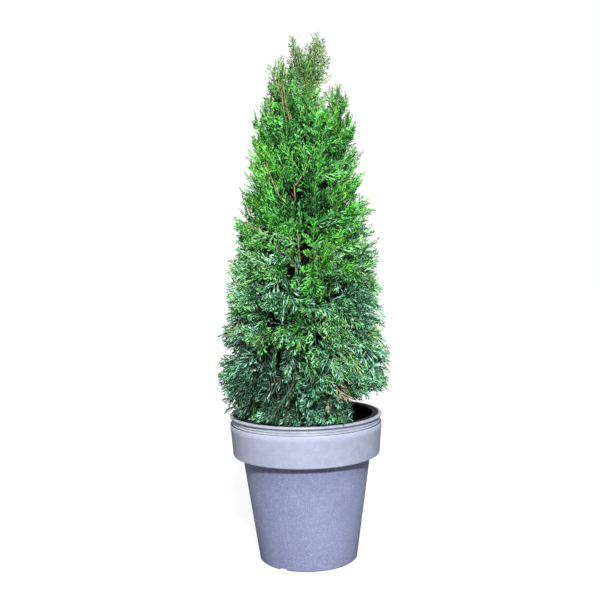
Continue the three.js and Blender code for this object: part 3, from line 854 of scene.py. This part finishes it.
class SprayPlan:
    """Kites by their centre lines and their half widths, both as four corners a kite."""

    def __init__(self, half_width, shoots, reach, splay, fork_angle=30, fork_size=0.45, ragged=0.8):
        self.half_width = half_width  # of a strand, in metres
        self.reach = reach
        self.fork_angle = fork_angle
        self.fork_size = fork_size
        self.ragged = ragged  # how far each strand rolls out of the spray's plane
        self.lines, self.flanks, self.outer, self.strands = [], [], [], []
        self.strand_count = 0
        sway = 0.05 * PLAN_RNG.uniform(-1, 1)

        def on_axis(t):
            return np.array([t, sway * sin(pi * t), 0.0])

        self.strand(on_axis, 1, 1.0, outer_from=1)
        for number in range(shoots):
            t = 0.06 + 0.88 * (number / (shoots - 1)) ** 0.93 + PLAN_RNG.uniform(-0.012, 0.012)
            side = 1 if number % 2 else -1
            profile = clamp((t + 0.16) / 0.36) * (1 - t) ** 0.72 + 0.10
            length = reach * profile * PLAN_RNG.uniform(0.72, 1.18)
            if PLAN_RNG.uniform() < BROKEN_SHARE:
                length *= 0.4
            angle = radians(mix(splay, splay * 0.6, t)) * side + PLAN_RNG.uniform(-0.12, 0.12)
            self.shoot(on_axis(t), angle, length)
        for name in ("lines", "flanks", "outer", "strands"):
            setattr(self, name, np.array(getattr(self, name)))

    def kite(self, foot, tip, width, roll):
        along = (tip - foot) / np.linalg.norm(tip - foot)
        flat = np.array([-along[1], along[0], 0.0])
        back = np.cross(along, flat)
        side = width * (cos(roll) * flat + sin(roll) * back)
        fold = -FOLD * width * (cos(roll) * back - sin(roll) * flat)
        middle = foot + (tip - foot) * 0.55
        self.lines.append([foot, middle, tip, middle])
        self.flanks.append([0 * side, fold - side, 0 * side, fold + side])

    def strand(self, at, length, width, outer_from):
        """A chain of kites along `at`, each reaching a little over the foot of the next."""
        count = max(1, round(length / KITE_LENGTH))
        roll = self.ragged * PLAN_RNG.uniform(-1, 1)
        for number in range(count):
            foot, tip = number / count, min(1, (number + 1.9) / count)
            self.kite(at(foot), at(tip), width * mix(1.05, 0.8, foot), roll + 0.05 * PLAN_RNG.normal())
            self.outer.append(foot >= outer_from)
            self.strands.append(self.strand_count)
        self.strand_count += 1

    def shoot(self, foot, angle, length):
        """A side shoot that bends forwards, and the forks that soon run beside it."""
        lean = -0.34 * copysign(1, angle)
        tilt = 0.22 * PLAN_RNG.uniform(-1, 1)

        def at(t):
            bend = angle + lean * t * 0.5
            return foot + length * t * np.array([cos(bend), sin(bend), tilt * t])

        self.strand(at, length, 1.0, outer_from=0.45)
        count = max(1, round(FORKS * length / self.reach + 0.3))
        for number in range(count):
            t = mix(0.26, 0.74, (number + 0.5) / count)
            side = 1 if number % 2 else -1
            turn = side * radians(self.fork_angle * PLAN_RNG.uniform(0.7, 1.25))
            heading = angle + lean * t + turn
            size = (0.14 * self.reach + self.fork_size * length * (1 - t)) * PLAN_RNG.uniform(0.75, 1.2)
            lift = PLAN_RNG.uniform(-0.2, 0.3)
            start = at(t)

            def beside(u):
                bend = heading - 0.35 * turn * u
                return start + size * u * np.array([cos(bend), sin(bend), lift * u])

            self.strand(beside, size, 0.85, outer_from=0)


def make_plans(count, **kind):
    """Draws some plans of one kind, and gives the range of their numbers."""
    PLANS.extend(SprayPlan(**kind) for _ in range(count))
    return range(len(PLANS) - count, len(PLANS))


FERNY = make_plans(
    6, half_width=0.00175, shoots=13, reach=0.46, splay=54, fork_angle=32, fork_size=0.62,
)
PLUMY = make_plans(
    6, half_width=0.00175, shoots=13, reach=0.40, splay=42, fork_angle=32, fork_size=0.6,
)
ANTLERED = make_plans(4, half_width=0.0015, shoots=8, reach=0.50, splay=56, fork_angle=46)
COARSE = make_plans(3, half_width=0.0032, shoots=8, reach=0.46, splay=56, ragged=1.2)
print("spray plans:", [len(plan.outer) for plan in PLANS], "kites")

# %% [markdown]
# The colour of a strand depends on its age and place. Each tint is one finish with a fine mottle,
# partly painted shade, and a ladder puts tints in order from the oldest growth and the deepest
# painted shade to the freshest. A spray climbs one ladder: lawn green to yellow green in the upper
# crown, softer below, blue or grey green on some sprays of the skirts, and pinkish brown where a few
# have died. Its age, painted shade and painted light set how far up it stands, and its inner strands
# are one rung lower, for older growth and painted shade.

# %% Foliage colours
TINTS = {
    "shade": (28, 58, 36),
    "old": (62, 126, 62),
    "dark_blue": (88, 142, 114),
    "blue": (126, 190, 158),
    "pale_blue": (160, 214, 182),
    "soft": (162, 222, 152),
    "deep": (74, 162, 80),
    "mid": (112, 194, 100),
    "lawn": (88, 196, 66),
    "yellow": (142, 206, 74),
    "grey": (126, 152, 112),
    "olive": (118, 164, 78),
    "withered": (156, 132, 112),
}
LADDERS = {  # from the oldest growth and deepest painted shade to the freshest
    "upper": ["shade", "old", "deep", "mid", "lawn", "lawn", "yellow"],
    "lower": ["shade", "dark_blue", "blue", "deep", "soft", "mid", "soft"],
    "bluish": ["shade", "dark_blue", "dark_blue", "blue", "blue", "pale_blue", "pale_blue"],
    "greyish": ["old", "old", "deep", "grey", "olive", "olive", "grey"],
    "dead": ["old", "grey", "withered", "withered", "withered", "withered", "grey"],
}
TOP_RUNG = len(LADDERS["upper"]) - 1
DARK_MOTTLE_SHARE = 0.66  # of a tint's brightness, in the mottle between the scales: older scales and painted shade


def scale_leaves():
    group = Group("scale_leaves", ["Leaf", "Dark mottle"])
    even = group.coordinates()
    scales = group.noise(even, 520, 1.5, 0.6)
    clumps = group.noise(even, 110, 1.0, 0.5)
    share = group.ramp(group.plus(group.times(scales, 0.3), clumps), 0.54, 0.72)
    # the dark mottle is partly painted shade between the strands, partly older scales
    colour = group.blend(share, group.given["Dark mottle"], group.given["Leaf"])
    return group.give(colour, group.plus(group.times(scales, 0.3), 0.36), scales)


LEAVES = scale_leaves()


def leaf_finish(name, colour):
    dark_mottle = tuple(round(value * DARK_MOTTLE_SHARE) for value in colour)
    return material_from(
        "leaf_" + name, LEAVES, {"Leaf": srgb(*colour), "Dark mottle": srgb(*dark_mottle)},
        bump=0.35, depth=0.0008, shine=0.35,
    )


LEAF_FINISHES = [leaf_finish(name, colour) for name, colour in TINTS.items()]
print("leaf finishes:", len(LEAF_FINISHES))

# %% [markdown]
# The crown isn't as smooth as its rule. Dents give its outline the notches of a real one. Fresh
# growth stands at the top and on the flanks, whose lighter rungs are partly painted light, and
# flushes are places that are fresher or older than that. The effect of both fades with the distance.
# The last few rows of each are at the back.

# %% Dents and flushes
DENTS = [  # bearing in degrees, lowest and highest place, spread, depth as a share of the reach
    (-4, 0.905, 0.905, 0.030, -0.08),  # a bulge
    (0, 0.595, 0.595, 0.028, 0.22),
    (180, 0.812, 0.812, 0.030, 0.15),
    (-20, 0.375, 0.390, 0.050, 0.50),
    (0, 1.262, 1.262, 0.022, 0.34),
    (-94, 0.780, 1.160, 0.020, 0.22),
    (-105, 0.690, 0.700, 0.022, 0.18),
    (-104, 0.430, 0.550, 0.022, 0.38),
    (-62, 0.710, 0.720, 0.020, 0.16),
    (-76, 0.560, 0.600, 0.020, 0.16),
    (-60, 1.080, 1.230, 0.014, 0.45),
    (95, 0.740, 0.900, 0.026, 0.26),
    (60, 0.900, 1.160, 0.022, 0.30),
    (148, 0.930, 1.120, 0.022, 0.28),
    (40, 0.520, 0.540, 0.036, 0.20),
    (128, 0.500, 0.520, 0.030, 0.20),
]
FLUSHES = [  # bearing in degrees, height, spread, how much fresher or older
    (-152, 1.030, 0.060, 0.30),
    (-146, 0.900, 0.060, 0.34),
    (-44, 0.930, 0.050, 0.24),
    (-50, 1.110, 0.040, 0.20),
    (-160, 0.700, 0.045, -0.34),
    (-112, 0.420, 0.060, -0.20),
    (-98, 0.620, 0.090, 0.26),
    (-80, 0.410, 0.090, -0.40),
    (-20, 0.600, 0.050, 0.24),
    (-26, 0.500, 0.080, 0.24),
    (-84, 0.820, 0.100, 0.20),
    (-154, 0.500, 0.080, -0.24),
    (-172, 0.480, 0.100, -0.44),
    (-140, 0.480, 0.070, -0.16),
    (30, 0.900, 0.070, 0.26),
    (100, 1.000, 0.060, 0.28),
    (140, 0.620, 0.060, -0.30),
]


def nearness(turn, height, reach, bearing, lowest, highest, spread):
    """1 at a place on the crown's surface, and less with the distance from it."""
    off = turn - radians(bearing)
    off = atan2(sin(off), cos(off)) * reach
    distance = hypot(off, height - min(highest, max(lowest, height)))
    return exp(-((distance / spread) ** 2))


def outline_r(turn, height):
    reach = crown_r(height)
    for bearing, lowest, highest, spread, depth in DENTS:
        reach *= 1 - depth * nearness(turn, height, reach, bearing, lowest, highest, spread)
    return reach


def flush_at(turn, height):
    """How much fresher, or older if negative, a place is than its height alone would make it."""
    reach = crown_r(height)
    return sum(
        change * nearness(turn, height, reach, bearing, middle, middle, spread)
        for bearing, middle, spread, change in FLUSHES
    )


def from_axis(point):
    """A point's distance from the tree's axis, and its bearing there."""
    x = point.x - axis_x(point.z)
    return hypot(x, point.y), atan2(point.y, x)


def room_for(point):
    """How far inside the outline a point is; negative where it is outside."""
    reach, turn = from_axis(point)
    return outline_r(turn, point.z) - reach


print("outline:", len(DENTS), "dents, and", len(FLUSHES), "flushes")

# %% [markdown]
# Every spray is shortened until its own tip stays within the crown's outline, or strays from it by
# no more than 15 mm. It gets its ladder and its rung from the place of its middle.

# %% One spray
Spray = namedtuple("Spray", "plan root heading side facing length droop curl ladder rung")
RNG = np.random.default_rng(2026)
SHORTEST_SPRAY = 0.026
STRAY_SHARE = 0.22  # of the sprays may stray from the outline
STRAY_REACH = 0.015  # this far
USUAL_REACH = 0.004  # and the others this far
OPEN_TOP = 1.12  # above it the light reaches every spray
GREY_TOP = 1.18  # above it more and more of them are greyish
DEAD_PLACE = Vector((0.074, -0.185, 0.472))
sprays = []
twigs = []


def freshness_and_light_at(point, turn, flush):
    """About 0 for the oldest foliage to 1 for the freshest, lowered as painted shade deeper in the
    crown.
    """
    height = clamp((point.z - 0.42) / 0.72)
    # partly painted light: the flanks, left and right as the camera sees them, get fresher, lighter
    # rungs
    lit_flank = abs(cos(turn))
    fresh_and_lit = mix(0.50, 0.80, height) + 0.26 * (lit_flank - 0.55) * clamp(1.4 * height)
    fresh_and_lit += 0.46 * noise.noise(point * 8 + Vector((4, 1, 2))) + flush
    if point.z > OPEN_TOP:
        return min(0.84, fresh_and_lit - 0.04)
    reach_share = 1 - room_for(point) / max(0.02, crown_r(point.z))
    # painted shade: the deeper a spray sits inside the outline, the lower and darker its rung
    return fresh_and_lit - 1.1 * max(0, 0.88 - reach_share)


def shade_for(point):
    """The ladder of one spray, and the rung of its outer strands."""
    turn = from_axis(point)[1]
    flush = flush_at(turn, point.z)
    fresh_and_lit = freshness_and_light_at(point, turn, flush) + 0.08 * RNG.normal()
    chance, other = RNG.uniform(size=2)
    low = clamp((1.0 - point.z) / 0.4 - 2 * flush)
    at_lip = clamp((0.48 - point.z) / 0.06)
    if (point - DEAD_PLACE).length < 0.040 and chance < 0.55:
        ladder = "dead"
    elif point.z > GREY_TOP and chance < mix(0.4, 1.0, (point.z - GREY_TOP) / 0.14):
        ladder = "greyish"
    elif chance < mix(0.03, 0.30, low) + 0.6 * at_lip:
        ladder = "bluish"
    elif chance < mix(0.12, 0.44, low) + 0.6 * at_lip:
        ladder = "greyish"
    else:
        ladder = "lower" if other < low else "upper"
    return ladder, int(round(clamp(fresh_and_lit) * TOP_RUNG))


def clear_of_lip(point):
    """Above the lip, or hanging inside it."""
    inside = hypot(point.x, point.y) < LIP_INNER_R - 0.006 and point.z > LIP_TOP - 0.016
    return inside or point.z > LIP_TOP + 0.002


def add_spray(root, heading, facing, length, plan, droop=0.0, curl=0.0, shade=None):
    """Notes one spray if it keeps within the crown's outline, shortened where it has to be."""
    heading = heading.normalized()
    stray = STRAY_REACH if RNG.uniform() < STRAY_SHARE else USUAL_REACH
    for _ in range(7):
        tip = root + heading * length - UP * droop * length
        if room_for(tip) > -stray and clear_of_lip(tip):
            break
        length *= 0.86
    else:
        return
    facing = facing - heading * facing.dot(heading)
    if length < SHORTEST_SPRAY or facing.length < 1e-3:
        return
    facing.normalize()
    ladder, rung = shade or shade_for(root + heading * length * 0.6)
    vectors = (list(vector) for vector in (root, heading, facing.cross(heading), facing))
    sprays.append(Spray(plan, *vectors, length, droop, curl, list(LADDERS).index(ladder), rung))


# %% [markdown]
# A branchlet carries several sprays in one plane, like a feather made of feathers. Its seat and its
# tip come from the crown's rule. The tree gets its look from the way its branchlets head at their
# ends: upright at the top, like flames, and outwards and down at the bottom, where they arch over.
# Most lie close along the crown's surface, and the others stand out of it. Two in five end a
# little deeper in the crown, where they close the gaps.


# %% Branchlets
def outward_at(point):
    bearing = Vector((point.x - axis_x(point.z), point.y, 0))
    return bearing.normalized() if bearing.length > 1e-4 else Vector((0, -1, 0))


def add_twig(at, end, steps, foot_r):
    twigs.append(([at(end * step / steps) for step in range(steps + 1)], foot_r))


def branchlet(seat, tip, end_heading, roll, size, plans, count=3):
    """A twig from its seat to near its tip, with sprays on both of its sides and one at its end."""
    length = (tip - seat).length
    if length < 0.02:
        return
    end_heading = end_heading.normalized()
    elbow = tip - end_heading * 0.5 * length

    def at(t):
        return arch(seat, elbow, tip, t)

    def heading_at(t):
        return ((elbow - seat) * (1 - t) + (tip - elbow) * t).normalized()

    end = max(0.3, 1 - 0.72 * size / length)
    facing = (outward_at(tip) + 0.3 * UP).normalized()
    facing.rotate(Matrix.Rotation(roll, 3, end_heading))
    low = clamp((0.85 - tip.z) / 0.4)
    add_twig(at, end, 5, 0.0021)
    for number in range(count):
        t = end * mix(0.22, 0.95, (number + 0.5) / count)
        side = 1 if number % 2 else -1
        heading = heading_at(t)
        heading.rotate(Matrix.Rotation(side * radians(RNG.uniform(30, 52)), 3, facing))
        tilt = facing.copy()
        tilt.rotate(Matrix.Rotation(RNG.uniform(-0.5, 0.5), 3, heading))
        add_spray(
            at(t), heading, tilt, size * RNG.uniform(0.62, 0.98), int(RNG.choice(plans)),
            low * RNG.uniform(0.05, 0.4), RNG.uniform(-0.1, 0.35),
        )
    add_spray(
        at(end), heading_at(0.95), facing, size * RNG.uniform(0.9, 1.1), int(RNG.choice(plans)),
        low * RNG.uniform(0.0, 0.3), RNG.uniform(0, 0.25),
    )


# %% Filling the crown below its top
LEAFY_TIERS = 6  # the tiers above them are open
PER_SQUARE_METRE = 420  # branchlets on the crown's outline
SPRAY_LENGTH = 0.120
HEART_SPRAYS = 1080
GOLDEN_TURN = 2.399963  # from one to the next, so that no two line up
SKIRT_SPRAYS = 190
SKIRT_GAP = (radians(-46), radians(24))  # bearings where the pot's inside shows


def fill_sector(sector):
    area = 2 * sector.half * sector.reach / LIMB_REACH * (sector.high - sector.low)
    dense = 1.25 if 0.70 < sector.high < 1.12 else 1.0  # where the crown is thickest
    count = max(8, round(PER_SQUARE_METRE * dense * area))
    for number in range(count):
        rise = (number + 0.5 + 0.4 * RNG.uniform(-1, 1)) / count
        sideways = 2 * ((number * 0.618 + 0.35) % 1) - 1 + 0.12 * RNG.uniform(-1, 1)
        inner = number % 5 in (1, 4)
        height = mix(sector.low, sector.high, mix(0.02, 0.98, rise))
        bearing = sector.turn + sector.half * sideways
        share = RNG.uniform(0.70, 0.92) if inner else RNG.uniform(0.88, 1.03)
        tip = polar(bearing, outline_r(bearing, height) * share, height)
        upright = clamp((height - 0.55) / 0.50)
        close = RNG.uniform() < 0.6  # it lies along the crown's surface; the others stand out of it
        climb = mix(-0.75, 0.90, upright) if close else mix(-0.20, 0.60, upright)
        climb += 0.35 * RNG.uniform(-1, 1)
        outward = outward_at(tip)
        across = UP.cross(outward) * RNG.uniform(-0.55, 0.55)
        lean = mix(0.34, 0.26, upright) if close else mix(0.90, 0.62, upright)
        end_heading = outward * lean + across + UP * climb
        seat = sector.seat(0.7 * sideways, mix(0.55, 0.50, upright))
        seat.z = tip.z - climb * mix(0.06, 0.12, upright) - 0.01
        if number % 5 == 0:
            seat = sector.limb(mix(0.5, 0.95, rise))
        seat.z = max(seat.z, SOIL_TOP + 0.03)
        roll = RNG.uniform(-1, 1) * mix(0.6, 0.85, upright)
        if RNG.uniform() < 0.25 * upright:
            roll += pi / 2
        size = SPRAY_LENGTH * RNG.uniform(0.8, 1.2) * mix(1.0, 0.88, upright)
        branchlet(seat, tip, end_heading, roll, size, FERNY if upright < 0.5 else PLUMY)


def fill_heart():
    """Old shaded sprays near the trunk, which close the view through the crown."""
    for number in range(HEART_SPRAYS):
        height = mix(0.40, 1.04, (number + 0.5) / HEART_SPRAYS)
        turn = GOLDEN_TURN * number
        root = polar(turn, crown_r(height) * RNG.uniform(0.05, 0.32), height)
        heading = level(turn, RNG.uniform(-0.2, 0.7))
        facing = Vector((RNG.normal(), RNG.normal(), RNG.normal()))
        length = crown_r(height) * RNG.uniform(0.38, 0.52)
        add_spray(root, heading, facing, length, int(RNG.choice(COARSE)), shade=("upper", 0))


def fill_skirt():
    """The lowest sprays, which arch over and hang just inside the lip."""
    for number in range(SKIRT_SPRAYS):
        turn = SKIRT_GAP[1] + (2 * pi + SKIRT_GAP[0] - SKIRT_GAP[1]) * (number + 0.5) / SKIRT_SPRAYS
        outward = level(turn)
        height = RNG.uniform(0.395, 0.435)
        root = polar(turn, RNG.uniform(0.075, 0.105), height)
        along = outward + Vector((-outward.y, outward.x, 0)) * RNG.uniform(-0.5, 0.5)
        heading = along - UP * RNG.uniform(0.0, 0.35)
        facing = outward * RNG.uniform(0.2, 0.8) + UP + Vector((RNG.normal(), RNG.normal(), 0)) * 0.3
        rung = int(RNG.choice([3, 4, 4, 5]))
        shade = ("bluish" if RNG.uniform() < 0.9 else "lower", rung)
        add_spray(root, heading, facing, RNG.uniform(0.080, 0.110), int(RNG.choice(FERNY)),
                  RNG.uniform(0.05, 0.25), RNG.uniform(0.0, 0.4), shade)


for sector in SECTORS:
    if sector.tier < LEAFY_TIERS:
        fill_sector(sector)
fill_heart()
fill_skirt()
print("sprays below the top:", len(sprays), "on", len(twigs), "twigs")

# %% [markdown]
# The top is open: a few upright leaders with antler-like tips stand apart, and the sky shows
# between them. There is a shoulder on the left, and on the right a fan on a stem of its own with a
# wedge of sky beside it. These are placed one by one, by where their tips are and where their stem
# leaves the trunk, and the branchlets on each follow by rule.

# %% Leaders
LEADERS = [  # tip x, y, height; height at which the stem leaves the trunk; branchlets; bushiness
    (-0.012, 0.000, 1.360, 1.160, 3, 0.24),
    (0.002, 0.012, 1.338, 1.150, 4, 0.40),
    (0.053, 0.004, 1.362, 1.170, 2, 0.24),
    (0.068, -0.008, 1.328, 1.150, 5, 0.40),
    (0.028, -0.014, 1.312, 1.130, 10, 0.60),
    (0.022, 0.030, 1.300, 1.100, 9, 0.60),
    (-0.074, -0.004, 1.300, 1.080, 7, 0.45),
    (-0.048, 0.010, 1.294, 1.080, 7, 0.50),
    (-0.070, 0.004, 1.245, 1.020, 11, 0.60),
    (-0.040, -0.040, 1.240, 1.020, 12, 0.80),
    (-0.092, -0.014, 1.195, 0.970, 12, 0.80),
    (-0.118, -0.004, 1.168, 0.940, 13, 0.80),
    (-0.126, 0.020, 1.120, 0.920, 13, 0.90),
    (0.102, -0.004, 1.214, 1.000, 9, 0.50),
    (0.126, 0.010, 1.206, 0.970, 11, 0.60),
    (0.138, -0.014, 1.172, 0.950, 13, 0.80),
    (0.142, 0.022, 1.130, 0.930, 13, 0.90),
    (0.020, -0.078, 1.225, 0.990, 13, 0.90),
    (0.064, -0.088, 1.140, 0.930, 13, 0.90),
    (-0.034, -0.096, 1.140, 0.930, 13, 0.90),
    (0.030, 0.082, 1.215, 0.990, 11, 0.90),
    (-0.030, 0.086, 1.190, 0.960, 13, 1.00),
    (0.080, 0.086, 1.160, 0.930, 13, 1.00),
    (-0.080, 0.070, 1.130, 0.920, 13, 1.00),
    (0.004, 0.116, 1.110, 0.900, 13, 1.00),
]
ANTLERS_FROM = 1.17  # the height above which the sprays are antler-like


def leader(x, y, height, leaves_trunk, count, bushy):
    foot = Vector((axis_x(leaves_trunk), 0, leaves_trunk))
    tip = Vector((x, y, height))
    knee = foot.lerp(tip, 0.42) + Vector((x - foot.x, y, 0)) * 0.22

    def at(t):
        return arch(foot, knee, tip, t)

    add_twig(at, 0.9, 8, 0.0026)
    bearing = atan2(y, x - axis_x(height))
    for number in range(count):
        t = mix(0.28, 0.86, (number + 0.5) / count)
        seat = at(t)
        outward = level(bearing + (number % 5 - 2) * 1.15 + RNG.uniform(-0.4, 0.4))
        end = seat + outward * bushy * mix(0.050, 0.026, t) + UP * mix(0.080, 0.045, t)
        heading = outward * bushy * RNG.uniform(0.4, 1.3) + UP
        plans = ANTLERED if seat.z > ANTLERS_FROM else PLUMY
        branchlet(seat, end, heading, RNG.uniform(-1.1, 1.1), mix(0.096, 0.060, t), plans, count=2)
    root, heading = at(0.76), tip - at(0.6)
    add_spray(root, heading, Vector((0.2, -1, 0.1)), (tip - root).length, int(RNG.choice(ANTLERED)))


for values in LEADERS:
    leader(*values)
print("sprays in all:", len(sprays), "on", len(twigs), "twigs")

# %% [markdown]
# All strands of one tint become one mesh. For each plan, every spray that uses it is placed at
# once: centre lines are scaled by the spray's length, half widths are not, and both are turned into
# the spray's own directions. Curl bends a spray towards its back, and droop pulls its far end down.
# Kites that run into the lip are left out, and so are those that would hide the pot's open side.

# %% Joining the sprays
LIP_GAP = (radians(-62), radians(36))
LIP_GAP_FROM_X = 0.118
LIP_GAP_TOP = LIP_TOP + 0.050
LIP_GAP_RAGGED = 0.010  # how far its edge wavers


def column(chosen, name):
    return np.array([getattr(spray, name) for spray in chosen])


def placed_kites(plan, chosen):
    """Corners of all kites of the chosen sprays, as sprays x kites x 4 x 3."""
    length, droop, curl = (column(chosen, name)[:, None, None] for name in ("length", "droop", "curl"))
    ahead, across = plan.lines[..., 0], plan.lines[..., 1]
    lines = np.repeat(plan.lines[None], len(chosen), axis=0)
    lines[..., 2] -= 0.5 * curl * ahead ** 2 + 0.35 * curl * np.abs(across)
    local = lines * length[..., None] + plan.flanks * plan.half_width
    basis = np.stack([column(chosen, name) for name in ("heading", "side", "facing")], 1)
    points = np.einsum("nkci,nij->nkcj", local, basis) + column(chosen, "root")[:, None, None]
    points[..., 2] -= droop * length * ahead ** 2
    return points


def kept_kites(points):
    """True for kites that neither stand out of the crown nor run into the lip or its gap."""
    x, y, z = (points[..., i] for i in range(3))
    rise = np.maximum(0, (z - SOIL_TOP) / (TREE_TOP - SOIL_TOP))
    reach = np.hypot(x - TOP_LEAN * rise ** LEAN_POWER, y)
    in_lip = (reach > LIP_INNER_R - 0.002) & (z < LIP_TOP + 0.001)
    turn = np.arctan2(y, x)
    edge = LIP_GAP_FROM_X + LIP_GAP_RAGGED * np.sin(260 * z + 90 * y)
    in_gap = (turn > LIP_GAP[0]) & (turn < LIP_GAP[1]) & (x > edge) & (z < LIP_GAP_TOP)
    return ~((reach > CROWN_R + 0.002) | in_lip | in_gap).any(-1)


def join_sprays():
    """One mesh a tint; a strand may be a rung fresher than its spray, or up to three older."""
    names = list(TINTS)
    corners = {name: [] for name in names}
    ladders = np.array([[names.index(tint) for tint in rungs] for rungs in LADDERS.values()])
    wobble = np.random.default_rng(5)
    for number, plan in enumerate(PLANS):
        chosen = [spray for spray in sprays if spray.plan == number]
        points = placed_kites(plan, chosen)
        kept = kept_kites(points)
        ladder, rung = column(chosen, "ladder")[:, None], column(chosen, "rung")[:, None]
        # inner strands one rung lower: older growth, and painted shade near the spray's axis
        rung = np.where(plan.outer, rung, np.maximum(0, rung - 1))
        step = wobble.choice([-3, -1, 0, 0, 1], size=(len(chosen), plan.strand_count))[:, plan.strands]
        tint = ladders[ladder, np.clip(rung + step * (rung > 0), 0, TOP_RUNG)]
        for value, name in enumerate(names):
            corners[name].append(points[(tint == value) & kept])
    for name, finish in zip(names, LEAF_FINISHES):
        kites = np.concatenate(corners[name]).reshape(-1, 3)
        start = np.arange(0, len(kites), 4)[:, None]
        triangles = np.concatenate([start + [0, 1, 2], start + [0, 2, 3]], 1).reshape(-1, 3)
        settle(mesh_from("sprays_" + name, kites, triangles, finish), MASSES, smooth_below=0)


join_sprays()

# %% [markdown]
# The twigs are thin three-sided tubes with a tan bark, and they become one mesh as well.

# %% Joining the twigs
TWIG_SIDES = 3
TWIG_TIP_R = 0.0009


def join_twigs():
    points, faces = [], []
    for path, foot_r in twigs:
        last = len(path) - 1
        for number, place in enumerate(path):
            along = (path[min(last, number + 1)] - path[max(0, number - 1)]).normalized()
            first = along.orthogonal().normalized()
            second = along.cross(first)
            radius = mix(foot_r, TWIG_TIP_R, number / last)
            ring = len(points)
            for corner in range(TWIG_SIDES):
                turn = 2 * pi * corner / TWIG_SIDES
                points.append(list(place + radius * (cos(turn) * first + sin(turn) * second)))
                if number < last:
                    a, b = ring + corner, ring + (corner + 1) % TWIG_SIDES
                    faces.append((a, b, b + TWIG_SIDES, a + TWIG_SIDES))
    settle(mesh_from("twigs", points, faces, twig_finish), MASSES, smooth_below=70)


join_twigs()
